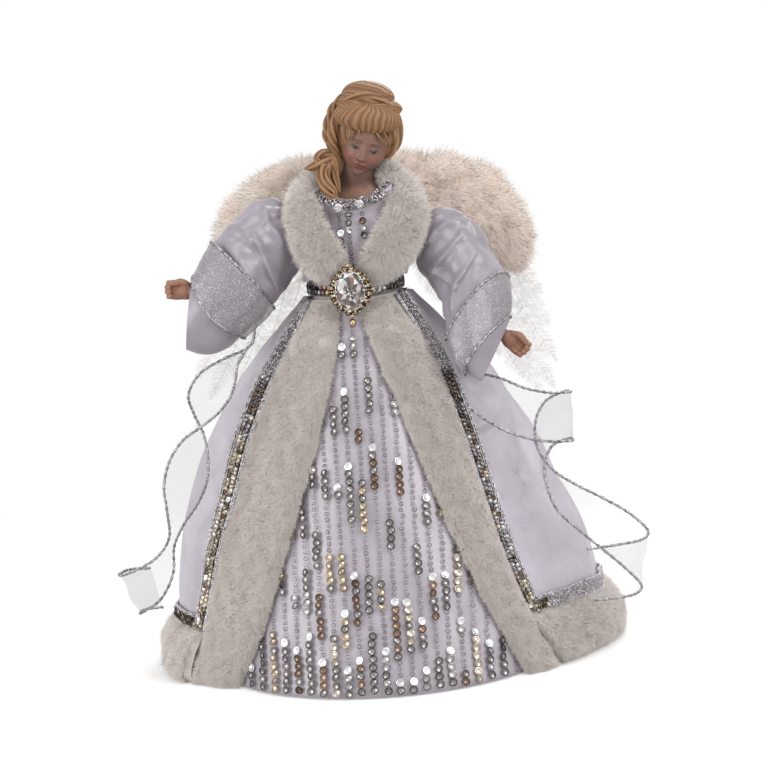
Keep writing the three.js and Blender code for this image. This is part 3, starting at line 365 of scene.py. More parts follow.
def satin_material(name, low, high):
    made, nodes, links, shader = material(name, Roughness=0.31, Anisotropic=0.45, Sheen_Weight=0.25,
                                          Sheen_Roughness=0.4, Specular_IOR_Level=0.7)
    broad = noise_of(nodes, links, 38, 4)
    colour = ramp_of(nodes, links, broad, [(0.3, low), (0.7, high)])
    links.new(colour, shader.inputs["Base Color"])
    warp, weft = threads_of(nodes, links, node(nodes, "TexCoord"), 900.0, 0.6)
    crumple = noise_of(nodes, links, 130, 4)
    bump_of(nodes, links, shader, [(warp, 0.06, 0.0002), (weft, 0.05, 0.0002), (crumple, 0.22, 0.0012)])
    return made


def fur_material(name, dark, mid, light, scale=260, sheer=0.0):
    """Hair paler towards its tips, its roots darkened as painted shade; sheer says how far the tips fade
    away.
    """
    made, nodes, links, shader = material(name, Roughness=0.85, Sheen_Weight=0.35, Sheen_Roughness=0.5,
                                          Specular_IOR_Level=0.2)
    patch = noise_of(nodes, links, scale, 3)
    colour = ramp_of(nodes, links, patch, [(0.25, mid), (0.75, light)])
    height = attribute_of(nodes, "height")
    # the dark colour at the roots is painted shade between the hairs
    low = mix_of(nodes, links, "MIX", height.outputs["Fac"], linear(dark), colour)
    links.new(low, shader.inputs["Base Color"])
    if sheer:
        fade = fade_of(nodes, links, height.outputs["Fac"], 0.6, 1.0, 1.0, 1 - sheer)
        links.new(fade, shader.inputs["Alpha"])
    bump_of(nodes, links, shader, [(noise_of(nodes, links, 900, 2), 0.15, 0.0003)])
    return made


def painted_material(name, roughness, fine, strength, **more):
    """Colour from the mesh's paint, broken up by fine noise; on some pieces it holds painted shade and
    reflections.
    """
    made, nodes, links, shader = material(name, Roughness=roughness, **more)
    paint = attribute_of(nodes, "paint").outputs["Color"]
    patch = noise_of(nodes, links, fine, 4)
    grain = ramp_of(nodes, links, patch, [(0.3, (236, 234, 232)), (0.7, (255, 255, 255))])
    links.new(mix_of(nodes, links, "MULTIPLY", 1.0, paint, grain), shader.inputs["Base Color"])
    bump_of(nodes, links, shader, [(noise_of(nodes, links, fine * 2, 3), strength, 0.0004)])
    return made


def organza_material(name, weave_share, base_share, glitter_size):
    """Sheer cloth: how much the threads cover, how much is covered between them, and its specks."""
    made, nodes, links, shader = material(name, Roughness=0.3, Metallic=0.15, Specular_IOR_Level=0.6)
    place = node(nodes, "TexCoord")
    threads = threads_of(nodes, links, place, 420.0, 1.0)
    weave = node(nodes, "Math", operation="MAXIMUM")
    links.new(threads[0], weave.inputs[0])
    links.new(threads[1], weave.inputs[1])
    spots = node(nodes, "TexVoronoi", Scale=900.0)
    links.new(place.outputs["Object"], spots.inputs["Vector"])
    glitter = node(nodes, "Math", operation="LESS_THAN")
    links.new(spots.outputs["Distance"], glitter.inputs[0])
    glitter.inputs[1].default_value = glitter_size
    alpha = node(nodes, "Math", operation="MULTIPLY_ADD", use_clamp=True)
    links.new(weave.outputs[0], alpha.inputs[0])
    alpha.inputs[1].default_value = weave_share
    alpha.inputs[2].default_value = base_share
    total = node(nodes, "Math", operation="ADD", use_clamp=True)
    links.new(alpha.outputs[0], total.inputs[0])
    links.new(glitter.outputs[0], total.inputs[1])
    links.new(total.outputs[0], shader.inputs["Alpha"])
    colour = mix_of(nodes, links, "MIX", glitter.outputs[0], linear((170, 166, 172)), linear((240, 240, 246)))
    links.new(colour, shader.inputs["Base Color"])
    bump_of(nodes, links, shader, [(spots.outputs["Distance"], 0.5, 0.0004)])
    return made


def plain_material(name, dark, light, scale, roughness, metallic=0.0, bump=0.15, stretch=(1, 1, 1), **more):
    made, nodes, links, shader = material(name, Roughness=roughness, Metallic=metallic, **more)
    patch = noise_of(nodes, links, scale, 4, stretch)
    links.new(ramp_of(nodes, links, patch, [(0.3, dark), (0.7, light)]), shader.inputs["Base Color"])
    bump_of(nodes, links, shader, [(noise_of(nodes, links, scale * 4, 3, stretch), bump, 0.0005)])
    return made


SATIN = satin_material("robe_satin", (188, 181, 189), (206, 199, 211))
# the sleeves and the skirt are the robe's white satin painted darker, as painted shade
SLEEVE_SATIN_SHADED = satin_material("sleeve_satin_shaded", (146, 139, 147), (162, 155, 166))
SKIRT_SATIN_SHADED = satin_material("skirt_satin_shaded", (168, 160, 168), (186, 179, 188))
FUR = fur_material("fur", (196, 183, 175), (237, 226, 219), (254, 250, 246), 600)
MARABOU = fur_material("marabou", (240, 219, 202), (248, 232, 219), (253, 248, 243), 60, 0.6)
FEATHER = plain_material("goose_feather", (244, 243, 240), (254, 253, 251), 300, 0.7, 0, 0.1, (1, 1, 0.2),
                         Alpha=0.34)
PORCELAIN = painted_material("porcelain", 0.45, 700, 0.05, Specular_IOR_Level=0.4, Subsurface_Weight=0.08)
HAIR = painted_material("moulded_hair", 0.5, 900, 0.15, Specular_IOR_Level=0.4)
SEQUIN = painted_material("sequin_foil", 0.22, 1500, 0.1, Metallic=0.9)
CUFF_ORGANZA = organza_material("cuff_organza", 0.5, 0.24, 0.2)
TAIL_ORGANZA = organza_material("tail_organza", 0.14, 0.02, 0.0)
CORD = plain_material("silver_cord", (52, 48, 49), (204, 200, 203), 620, 0.3, 0.7, 0.5)
CARD = plain_material("card", (160, 142, 112), (186, 170, 140), 260, 0.9)
FELT = plain_material("white_felt", (226, 222, 216), (240, 237, 232), 420, 0.95, 0, 0.4)
STONE = painted_material("cut_crystal", 0.04, 300, 0.0, Specular_IOR_Level=1.0, Coat_Weight=0.7,
                         Coat_Roughness=0.02)
STUFFING = plain_material("stuffing", (222, 218, 208), (240, 237, 230), 200, 0.95)
WIRE = plain_material("armature_wire", (120, 118, 116), (168, 166, 162), 600, 0.4, 0.9)

for name, made in (("cone_core", CARD), ("wing_board", FELT),
                   ("arm_wire_left", WIRE), ("arm_wire_right", WIRE)):
    thing = bpy.data.objects[name]
    thing.data.materials.clear()
    thing.data.materials.append(made)


# The gown's surfaces, as the part's source gives them: angles from the front towards +X, in degrees

WAIST = 262.0
WAIST_SHIFT = -5.8
SKIRT_WAIST, SKIRT_HEM, SKIRT_BACK, SKIRT_TOP = 28.0, 127.0, 110.5, 254.0
COAT_WAIST, COAT_FRONT, COAT_SIDE, COAT_BACK, COAT_TOP = 31.5, 131.0, 154.0, 113.0, 255.0
FOLD_DEPTH = 7.0
EDGE = {"left": -68.0, "right": 57.0}
SIDE_SEAM = 125.0
FUR_HEM = 34.0
SIDES = (("left", -1), ("right", 1))
SATIN_THICKNESS, SKIRT_THICKNESS, CUFF_THICKNESS, TAIL_THICKNESS = 1.0, 0.8, 0.25, 0.24
YOKE_START, YOKE_END, YOKE_LOW, YOKE_HIGH, YOKE_WIDE, YOKE_DEEP = 62, 298, 266.8, 310, 36.5, 31


def on_gown(angle, radius, z):
    a = np.radians(angle)
    return np.stack([WAIST_SHIFT * z / WAIST + radius * np.sin(a), -radius * np.cos(a), z + 0 * a], -1)


def skirt_radius(angle, z):
    t = np.clip(z / WAIST, 0, 1)
    hem = lerp(SKIRT_HEM, SKIRT_BACK, smoothstep(np.abs(angle), 60, 150))
    return SKIRT_WAIST + (hem - SKIRT_WAIST) * (1 - t) ** 0.9


SIDE_SHARES = {
    "left": [1, 0.985, 0.955, 0.915, 0.865, 0.79, 0.7, 0.56, 0.4, 0.2, 0],
    "right": [1, 0.97, 0.93, 0.87, 0.79, 0.69, 0.58, 0.45, 0.31, 0.15, 0],
}
FOLDS = {  # place at the hem and at the waist, half width and depth of each, as shares
    "right": [(0.5, 0.62, 0.07, 0.9), (0.68, 0.55, 0.05, 0.75), (0.86, 0.8, 0.07, 1)],
    "left": [(0.52, 0.7, 0.07, 0.5), (0.8, 0.78, 0.08, 0.9)],
    "back": [(0.12, 0.3, 0.06, 0.8), (0.31, 0.4, 0.07, 1), (0.5, 0.5, 0.06, 0.9), (0.69, 0.6, 0.07, 1),
             (0.88, 0.7, 0.06, 0.8)],
}
EDGE_SHARES = {
    "left": [1.02, 1.0, 1.0, 1.01, 1, 1, 1, 0.98, 0.9, 0.82],
    "right": [1.02, 0.95, 0.91, 0.9, 0.92, 0.95, 0.98, 1, 0.96, 0.84],
}
FUR_INNER = {
    "left": [-54, -48, -43.5, -40, -36, -31, -26.5, -22, -18, -14],
    "right": [45, 41.5, 37.5, 34, 31, 28, 24, 18.5, 10.5, 0.5],
}


def is_left(angle):
    return (angle < 0) | (angle > 180)


def from_front(angle):
    return np.where(angle > 180, 360 - angle, np.abs(angle))


def coat_hem_radius(angle):
    side = from_front(angle)
    start = np.where(is_left(angle), 38, 50)
    near = lerp(COAT_FRONT, COAT_SIDE, smoothstep(side, start, start + 46))
    return np.where(side < 100, near, lerp(COAT_SIDE, COAT_BACK, smoothstep(side, 100, 172)))


def fold_depth(angle, t):
    side = np.abs(angle)
    behind = side > SIDE_SEAM
    turned = np.where(angle < 0, 360 + angle, angle)
    share = np.where(behind, (turned - SIDE_SEAM) / (360 - 2 * SIDE_SEAM), (side - 45) / (SIDE_SEAM - 45))
    depth = 0.0
    for name, rows in FOLDS.items():
        inside = {"back": behind, "left": ~behind & (angle < 0), "right": ~behind & (angle >= 0)}[name]
        for hem, waist, half, deep in rows:
            off = np.minimum(np.abs(share - lerp(hem, waist, t)) / half, 1)
            depth = depth + inside * deep * (1 - off) ** 1.5 * (1 + off)
    return FOLD_DEPTH * depth * np.sin(math.pi * np.clip(0.12 + 0.88 * (1 - t), 0, 1)) ** 0.7


def coat_radius(angle, z):
    t = np.clip(z / WAIST, 0, 1)
    side_share = np.where(is_left(angle), through(SIDE_SHARES["left"], t), through(SIDE_SHARES["right"], t))
    side = from_front(angle)
    weight = smoothstep(side, 58, 96) * (1 - 0.8 * smoothstep(side, 108, 165))
    share = lerp((1 - t) ** 0.86, side_share, weight)
    return COAT_WAIST + (coat_hem_radius(angle) - COAT_WAIST) * share + fold_depth(angle, t)


def coat_edge(side, t):
    return EDGE[side] * through(EDGE_SHARES[side], t)


def degrees_of(length, radius):
    return 180 * length / (math.pi * radius)


# Camera and stage

LENS, SENSOR, ROLL = 101.4, 36.0, -5.0
STAND, TARGET = (0.096, -1.5, 0.400), (0.0077, 0, 0.1899)
camera_data = bpy.data.cameras.new("camera")
camera_data.lens, camera_data.sensor_width = LENS, SENSOR
camera_data.clip_start, camera_data.clip_end = 0.05, 50
camera = bpy.data.objects.new("camera", camera_data)
bpy.context.scene.collection.objects.link(camera)
stand = Vector(STAND)
look = (Vector(TARGET) - stand).normalized()
level = look.cross(Vector((0, 0, 1))).normalized()
upright = level.cross(look)
roll = math.radians(ROLL)
right = level * math.cos(roll) + upright * math.sin(roll)
up = upright * math.cos(roll) - level * math.sin(roll)
camera.matrix_world = Matrix.Translation(stand) @ Matrix((right, up, -look)).transposed().to_4x4()
bpy.context.scene.camera = camera
bpy.context.scene.view_settings.view_transform = "Standard"

world = bpy.data.worlds.new("studio")
bpy.context.scene.world = world
world.use_nodes = True
w_nodes, w_links = world.node_tree.nodes, world.node_tree.links
w_nodes.clear()
ray = node(w_nodes, "LightPath")
seen = ray.outputs["Is Camera Ray"]
for other in ("Is Glossy Ray", "Is Transmission Ray"):
    added = node(w_nodes, "Math", operation="MAXIMUM")
    w_links.new(seen, added.inputs[0])
    w_links.new(ray.outputs[other], added.inputs[1])
    seen = added.outputs[0]
dim = node(w_nodes, "Background", Strength=0.52)
dim.inputs["Color"].default_value = (1, 1, 1, 1)
bright = node(w_nodes, "Background", Strength=1.0)
bright.inputs["Color"].default_value = (1, 1, 1, 1)
both = node(w_nodes, "MixShader")
w_links.new(seen, both.inputs[0])
w_links.new(dim.outputs[0], both.inputs[1])
w_links.new(bright.outputs[0], both.inputs[2])
w_links.new(both.outputs[0], node(w_nodes, "OutputWorld").inputs["Surface"])


def softbox(name, place, size, power, aim=(0, 0, 0.18)):
    """A round lamp with its size in metres and its power in watts, aimed at a point."""
    data = bpy.data.lights.new(name, "AREA")
    data.shape, data.size, data.energy = "DISK", size, power
    thing = bpy.data.objects.new(name, data)
    bpy.context.scene.collection.objects.link(thing)
    thing.location = place
    thing.rotation_euler = (Vector(aim) - Vector(place)).to_track_quat("-Z", "Y").to_euler()


softbox("key", (1.15, -1.0, 1.0), 0.8, 10.5)
softbox("fill", (-1.3, -0.9, 0.5), 0.9, 9.5)
softbox("rim", (0.4, 1.2, 1.0), 0.8, 8)
softbox("top", (0.1, -0.5, 1.6), 0.8, 5, (0, 0, 0.3))


def floor_material():
    made, nodes, links, shader = material("floor", Roughness=0.9, Specular_IOR_Level=0.1)
    patch = noise_of(nodes, links, 6, 2)
    shade = ramp_of(nodes, links, patch, [(0.2, (226, 225, 224)), (0.8, (229, 228, 227))])
    links.new(shade, shader.inputs["Base Color"])
    path = node(nodes, "LightPath")
    glow = node(nodes, "Emission", Strength=0.36)
    add = node(nodes, "AddShader")
    links.new(shader.outputs[0], add.inputs[0])
    links.new(glow.outputs[0], add.inputs[1])
    place = node(nodes, "TexCoord")
    reach = node(nodes, "VectorMath", operation="LENGTH")
    links.new(place.outputs["Object"], reach.inputs[0])
    paper = node(nodes, "MixShader")
    links.new(fade_of(nodes, links, reach.outputs["Value"], 0.22, 0.75), paper.inputs[0])
    links.new(add.outputs[0], paper.inputs[1])
    links.new(node(nodes, "Emission", Strength=1.0).outputs[0], paper.inputs[2])
    mixed = node(nodes, "MixShader")
    links.new(path.outputs["Is Camera Ray"], mixed.inputs[0])
    links.new(shader.outputs[0], mixed.inputs[1])
    links.new(paper.outputs[0], mixed.inputs[2])
    output = next(n for n in nodes if n.type == "OUTPUT_MATERIAL")
    links.new(mixed.outputs[0], output.inputs["Surface"])
    return made


FLOOR_RADIUS, FLOOR_DROP, FLOOR_SIDES = 6000, -0.3, 64
around = np.linspace(0, 2 * math.pi, FLOOR_SIDES + 1)[:-1]
ring = np.array([[FLOOR_RADIUS * math.cos(a), FLOOR_RADIUS * math.sin(a), FLOOR_DROP] for a in around])
floor_points = np.concatenate([[[0, 0, FLOOR_DROP]], ring * 0.5, ring])
this = np.arange(1, FLOOR_SIDES + 1)
then = np.roll(this, -1)
floor_faces = [np.stack([0 * this, this, then], -1),
               np.stack([this, this + FLOOR_SIDES, then + FLOOR_SIDES, then], -1)]
make("floor", floor_points, floor_faces, floor_material())


# Coat, yoke and skirt

def ridged(p, size, seed):
    """Folded noise: flat facets that meet in crisp ridges, from 0 to about 1."""
    return 1 - np.minimum(np.abs(ripple(p, size, seed, 3)), 1.6) / 1.2


def crease(x, z, rows, depth, wide, soft=3.0):
    """A step down on the right of a line through rows of (x, z), which eases back over a width."""
    best, signed = np.full(np.shape(x), 1e9), np.zeros(np.shape(x))
    for (x0, z0), (x1, z1) in zip(rows, rows[1:]):
        dx, dz = x1 - x0, z1 - z0
        k = np.clip(((x - x0) * dx + (z - z0) * dz) / (dx * dx + dz * dz), 0, 1)
        ox, oz = x - x0 - dx * k, z - z0 - dz * k
        away = np.hypot(ox, oz)
        near = away < best
        best = np.where(near, away, best)
        signed = np.where(near, np.sign(dz * ox - dx * oz) * away, signed)
    return depth * (smoothstep(signed, 0, soft) - 1) * smoothstep(wide + signed, 0, wide)


CREASES = [  # points (x, z) along each, its depth and how wide it eases back
    ([(99, 181), (100.5, 152), (102, 120)], 6.0, 17),
    ([(102, 120), (118, 110), (123, 99), (139, 96), (150, 95)], 5.0, 14),
    ([(76, 157), (99, 171)], 5.0, 15),
    ([(119, 127), (134, 107), (140, 96)], 3.2, 9),
    ([(-98, 216), (-107, 205), (-106, 190), (-96, 183)], 4.4, 12),
    ([(-122, 150), (-112, 120), (-118, 88), (-126, 60)], 4.6, 15),
    ([(-92, 160), (-101, 128), (-98, 96), (-106, 62)], 4.0, 14),
    ([(86, 108), (94, 92), (112, 84), (120, 66)], 4.0, 12),
    ([(-46, 240), (-60, 222), (-70, 198), (-74, 176)], 3.6, 9),
    ([(-62, 232), (-78, 214), (-86, 192)], 3.2, 9),
    ([(34, 252), (48, 232), (62, 206), (70, 184)], 3.6, 9),
    ([(48, 246), (64, 226), (80, 198)], 3.4, 9),
]
SLEEVE_RIDGES = {  # points (x, z) along each, its height and width
    "left": [([(-72, 306), (-68, 297.4), (-64.2, 286.1), (-60.5, 274), (-57.5, 261.3), (-57, 254)], 5.0, 2.8),
             ([(-64, 330), (-61.2, 310.9), (-56.3, 304.3), (-50, 296)], 4.0, 2.8),
             ([(-92, 300), (-82, 288), (-75, 272), (-72, 256)], 2.6, 4.5)],
    "right": [([(38, 289.3), (47.4, 289.4), (53, 296.8), (60.9, 300.9), (71.8, 302.8), (78.5, 298.1),
                (84, 288)], 4.8, 2.5),
              ([(76, 298), (63.3, 284.6), (54.7, 276.1), (49.3, 268.3), (42, 262)], 4.4, 2.5),
              ([(46, 269), (55.6, 261.9), (64, 255)], 3.6, 2.4),
              ([(80, 282), (71.9, 269.1), (64.1, 260.4), (59.7, 250.1), (59, 238)], 4.4, 2.6)],
}


def ridge(x, z, rows, high, wide):
    """A raised line through rows of (x, z), with a valley on each side, which dies away at its ends."""
    best, along = np.full(np.shape(x), 1e9), np.zeros(np.shape(x))
    for i, ((x0, z0), (x1, z1)) in enumerate(zip(rows, rows[1:])):
        dx, dz = x1 - x0, z1 - z0
        k = np.clip(((x - x0) * dx + (z - z0) * dz) / (dx * dx + dz * dz), 0, 1)
        away = np.hypot(x - x0 - dx * k, z - z0 - dz * k)
        along = np.where(away < best, (i + k) / (len(rows) - 1), along)
        best = np.minimum(best, away)
    fade = np.sqrt(np.maximum(np.sin(math.pi * along), 0))
    return high * fade * (np.exp(-(best / wide) ** 2) - 0.6 * np.exp(-(best / (3 * wide)) ** 2))


def coat_detail(angle, z):
    """Finer waves, crisp creases and gathers on top of the main folds."""
    t = z / WAIST
    p = on_gown(angle, coat_radius(angle, z), z)
    hang = np.sin(math.pi * np.clip(t * 1.1, 0, 1))
    soft = 0.9 * ripple(p * [1, 1, 0.35], 46, 3) * hang - 1.9 * ridged(p * [1, 1, 0.45], 74, 17) * hang
    gathers = 0.9 * np.sin(np.radians(angle) * 26 + 1.5 * ripple(p, 60, 4)) * smoothstep(t, 0.62, 0.97)
    for rows, depth, wide in CREASES:
        soft = soft + crease(p[..., 0], z, rows, depth, wide, 2.2) * smoothstep(6 - p[..., 1], 0, 45)
    return soft + gathers


def coat_panel(which, start, end):
    def surface(u, v):
        z = lerp(FUR_HEM + 0.3, COAT_TOP, v)
        t = z / WAIST
        angle = lerp(start(t), end(t), u)
        fade = np.minimum(smoothstep(u, 0, 0.06), smoothstep(1 - u, 0, 0.06))
        return on_gown(angle, coat_radius(angle, z) + coat_detail(angle, z) * fade, z)
    outward = 1 if start(0.5) < end(0.5) else -1
    piece = cloth("coat_panel_" + which, surface, 150, 110, SATIN_THICKNESS, SATIN, inward=outward)
    settle(piece, "gown", "satin", "coat_" + which)


for side, sign in SIDES:
    coat_panel(side, lambda t, s=side: coat_edge(s, t), lambda t, s=sign: s * SIDE_SEAM + 0 * t)
coat_panel("back", lambda t: SIDE_SEAM + 0 * t, lambda t: 360 - SIDE_SEAM + 0 * t)


def yoke_surface(u, v):
    angle = np.radians(lerp(YOKE_START, YOKE_END, u))
    z = lerp(YOKE_LOW, YOKE_HIGH, v)
    middle = WAIST_SHIFT * (1 - v)
    p = np.stack([middle + YOKE_WIDE * np.sin(angle), -YOKE_DEEP * np.cos(angle), z], -1)
    return p - unit(p * [1, 1, 0])[..., :] * (0.5 * ripple(p * [1, 1, 0.3], 16, 9))[..., None]


settle(cloth("coat_back_yoke", yoke_surface, 90, 24, SATIN_THICKNESS, SATIN), "gown", "satin", "coat_yoke")


def skirt_surface(u, v):
    z = lerp(0.8, SKIRT_TOP, v)
    angle = 360 * u - 180
    radius = skirt_radius(angle, z)
    p = on_gown(angle, radius, z)
    return on_gown(angle, radius + 0.5 * ripple(p * [1, 1, 0.3], 30, 5) * smoothstep(v, 0, 0.1), z)


skirt = cloth("sequin_skirt", skirt_surface, 220, 70, SKIRT_THICKNESS, SKIRT_SATIN_SHADED, ring=True)
settle(skirt, "gown", "satin", "underskirt")


TORSO = [(0, 222.5, 16, 16), (0, 240.3, 16.3, 16.3), (-2.9, 240.9, 24.8, 24.8), (-5.8, 254.4, 30.1, 30.1),
         (-5.8, 264.5, 31, 29.8), (-3.5, 287.5, 33, 24.2), (-0.6, 301.9, 33, 22), (1, 312, 31.35, 18.9)]


def torso_surface(u, v):
    """A stuffed bag round the form, with a sewn seam down each side and small puckers along it."""
    x, z, wide, deep = np.moveaxis(through(TORSO, v), -1, 0)
    a = 2 * math.pi * u
    pucker = 0.35 * np.exp(-(np.sin(a) / 0.2) ** 2) * np.abs(np.sin(60 * v))
    seam = 0.9 * np.exp(-(np.sin(a) / 0.05) ** 2) + pucker
    puff = 0.3 * np.sin(5 * a + 9 * v) - 0.35 * np.abs(np.sin(40 * v + 3 * np.sin(2 * a))) - seam - 0.6
    end = np.sqrt(np.clip(np.minimum(v / 0.03, (1 - v) / 0.08), 0, 1))
    return np.stack([x + (wide + puff) * end * np.cos(a), (deep + puff) * end * np.sin(a), z], -1)


torso_points, torso_faces = capped(grid(torso_surface, 120, 80, True))
torso = settle(make("stuffed_torso", torso_points, torso_faces, STUFFING), "gown", "stuffing", "torso_form")


# Fur

FUR_HAIR_WIDTH, FUR_ROOT_DEPTH, FUR_LOWEST = 0.36, 0.4, 0.15
LAPEL_HALF_WIDTH, LAPEL_HALF_THICKNESS, HAIR_ROOM = 15, 6.5, 1.6
FUR_PUFF, FUR_HEM_PUFF, FUR_SEAT, FUR_SEWN = 10, 12.4, 0.8, -1.6


def fur_round(x):
    return np.sqrt(np.maximum(0, 1 - np.abs(2 * x - 1) ** 3))


def fur_front_place(side, u, v, lift):
    sign = math.copysign(1, EDGE[side])
    z = lerp(0.4, COAT_TOP, v)
    t = z / WAIST
    gap = sign * degrees_of(0.5, coat_radius(coat_edge(side, t), z))
    angle = lerp(through(FUR_INNER[side], t), coat_edge(side, t) - gap, u)
    seat = coat_radius(angle, z) - fold_depth(angle, t) - 2.4
    return on_gown(angle, lerp(skirt_radius(angle, z), seat, u) + lift, z)


def fur_hem_place(side, u, v, lift):
    sign = math.copysign(1, EDGE[side])
    z = lerp(0.4, FUR_HEM, u)
    start = coat_edge(side, z / WAIST) - sign * degrees_of(1.2, COAT_FRONT)
    angle = lerp(start, sign * (180 - degrees_of(0.3, COAT_BACK)), v)
    return on_gown(angle, coat_radius(angle, z) - fold_depth(angle, z / WAIST) + lift, z)


def blades(roots, directions, bends, lengths, widths, soft, segments, rows):
    """Tapered flat hairs: points, faces, heights along each and soft normals."""
    count = len(roots)
    side = unit(np.cross(directions, soft + 0.25 * rows.normal(size=(count, 3))))
    places, heights = [roots], [0.0]
    heading = directions
    for k in range(segments):
        heading = unit(heading + bends / segments * (k > 0))
        places.append(places[-1] + heading * (lengths / segments)[:, None])
        heights.append((k + 1) / segments)
    points, values, normals = [], [], []
    for k in range(segments):
        half = (widths * (1 - 0.35 * k / segments) / 2)[:, None]
        points += [places[k] - side * half, places[k] + side * half]
        values += [np.full(count, heights[k])] * 2
        normals += [soft, soft]
    points.append(places[-1])
    values.append(np.full(count, 1.0))
    normals.append(soft)
    size = 2 * segments + 1
    base = np.arange(count)[:, None] * size
    quads = [base + np.array([[2 * k, 2 * k + 1, 2 * k + 3, 2 * k + 2]]) for k in range(segments - 1)]
    last = 2 * (segments - 1)
    faces = [np.concatenate(quads)] if quads else []
    faces.append(base + np.array([[last, last + 1, last + 2]]))
    stack = lambda parts: np.stack(parts, 1)
    return stack(points).reshape(-1, 3), faces, stack(values).ravel(), stack(normals).reshape(-1, 3)


def roots_on(p, ring, density, rows):
    """Random places on a grid and its unit normals there."""
    n = grid_normals(p, ring)
    if ring:
        p, n = np.concatenate([p, p[:1]]), np.concatenate([n, n[:1]])
    a, b, c, d = p[:-1, :-1], p[1:, :-1], p[1:, 1:], p[:-1, 1:]
    area = np.linalg.norm(np.cross(c - a, d - b), axis=-1) / 2
    flat = area.ravel()
    count = int(flat.sum() * density)
    cell = np.unravel_index(rows.choice(flat.size, count, p=flat / flat.sum()), area.shape)
    s, t = rows.random((2, count, 1))
    mixed = lambda g: ((g[:-1, :-1][cell] * (1 - s) + g[1:, :-1][cell] * s) * (1 - t)
                       + (g[:-1, 1:][cell] * (1 - s) + g[1:, 1:][cell] * s) * t)
    return mixed(p), unit(mixed(n))


def clump(p, size, seed):
    return np.stack([ripple(p, size, seed + k) for k in range(3)], -1)


def facing(normals):
    """Leans the shading of hairs at the edge of the shape towards the side, front or back, that they show."""
    way = np.clip((normals[:, 1:2] - 0.3) / 0.3, -1, 1)
    return way * np.array([0, 0.8, 0]) + np.array([0, 0, 0.22])


def furry(name, outer, inner, out, length, density, seed, fall=-0.6, wild=0.32):
    """A closed puffed body with short hairs on its outer face; out is -1 where the grid faces inwards.

    Without an inner grid the outer one is a ring that is closed at both ends.
    """
    rows = np.random.default_rng(seed)
    ring = inner is None
    points, faces = capped(outer) if ring else shell(outer, inner)
    faces = turned_out(faces, out)
    root, normal = roots_on(outer, ring, density, rows)
    normal = normal * out
    drop = np.array([0, 0, fall])
    clumps = 0.1 * clump(root, 10, seed + 1)
    heading = unit(0.62 * normal + drop + clumps + wild * rows.normal(size=root.shape))
    lengths = length * rows.uniform(0.55, 1.35, len(root)) * (1 + 0.1 * ripple(root, 9, seed + 9))
    soft = unit(normal + facing(normal) + 0.2 * heading + 0.2 * rows.normal(size=root.shape))
    bend = 0.5 * drop + 0.12 * clump(root, 12, seed + 5)
    widths = FUR_HAIR_WIDTH * rows.uniform(0.7, 1.2, len(root))
    hairs = blades(root - normal * FUR_ROOT_DEPTH, heading, bend, lengths, widths, soft, 1, rows)
    hairs[0][:, 2] = np.maximum(hairs[0][:, 2], FUR_LOWEST)
    # the body under the hairs takes part of the dark root colour, as painted shade
    body_heights = np.full(len(points), 0.6)
    return haired(name, points, faces, body_heights, body_normals(points, outer, ring, out), hairs, FUR)


def haired(name, points, faces, heights, normals, hairs, material_of):
    """Makes one piece of a body and its hairs, which are points, faces, heights and normals too."""
    hair_points, hair_faces, hair_heights, hair_normals = hairs
    first = len(points)
    return make(name, np.concatenate([points, hair_points]), [*faces, *(f + first for f in hair_faces)],
                material_of, values={"height": np.concatenate([heights, hair_heights])},
                normals=np.concatenate([normals, hair_normals]))


def body_normals(points, outer, ring, out):
    n = (grid_normals(outer, ring) * out).reshape(-1, 3)
    n = unit(n + facing(n))
    if len(points) == 2 * len(n):
        return np.concatenate([n, -n])
    ends = np.stack([outer[:, 0].mean(0) - outer[:, 1].mean(0), outer[:, -1].mean(0) - outer[:, -2].mean(0)])
    return np.concatenate([n, unit(ends)])


def fur_piece(name, place, size, seat, puff_of, wave_seed, out, hairs, seed, node_name):
    """A puffed fur band on the coat: place(u, v, lift) lies on it, and hairs is their length and density."""
    def outer(u, v):
        lift = seat + puff_of(v) * lerp(0.18, 1, fur_round(u))
        return place(u, v, lift + 0.5 * ripple(place(u, v, lift), 19, wave_seed) * fur_round(u))
    inner = grid(lambda u, v: place(u, v, seat), *size)
    settle(furry(name, grid(outer, *size), inner, out, *hairs, seed), "gown", "fur", node_name)


def front_puff(v):
    """Flatter just below the belt."""
    return FUR_PUFF * (0.3 + 0.7 * smoothstep(1 - v, 0, 0.14)) - 2.5


def hem_puff(v):
    return FUR_HEM_PUFF + 0 * v


for index, (side, sign) in enumerate(SIDES):
    fur_piece("fur_edge_" + side, partial(fur_front_place, side), (26, 150), FUR_SEAT, front_puff, 30, sign,
              (3.8, 11), 40 + index, "fur_front_" + side)
    fur_piece("fur_border_" + side, partial(fur_hem_place, side), (24, 190), FUR_SEWN, hem_puff, 31, -sign,
              (4.2, 9), 50 + index, "fur_hem_" + side)

COLLAR = {  # each lapel from the nape to the belt: place, share of the width, and the way it faces
    "left": [(-4.5, 22.5, 337, 0.7, 0, 1, 0.5), (-21, 18, 338, 0.8, -0.5, 0.8, 0.6),
             (-34.5, 3, 332.5, 0.82, -0.75, 0.1, 0.9), (-36.5, -15, 324, 0.94, -0.65, -0.6, 0.6),
             (-34.5, -27, 308, 1, -0.5, -0.85, 0.15), (-29, -33, 292, 1, -0.35, -0.94, 0),
             (-20.5, -35, 279, 0.92, -0.2, -0.98, 0), (-12.5, -35.5, 268.8, 0.6, -0.1, -1, 0)],
    "right": [(4.5, 21, 338, 0.72, 0, 1, 0.5), (16, 14.5, 339.5, 0.88, 0.4, 0.8, 0.7),
              (28, -1, 333, 1.0, 0.6, 0.0, 1.0), (34, -16, 320, 1.02, 0.6, -0.62, 0.65),
              (33, -27, 303, 1.04, 0.5, -0.85, 0.15), (24, -33, 289, 1.06, 0.35, -0.94, 0),
              (13, -35, 278, 0.9, 0.2, -0.98, 0), (4.5, -35.5, 267.5, 0.6, 0.1, -1, 0)],
}


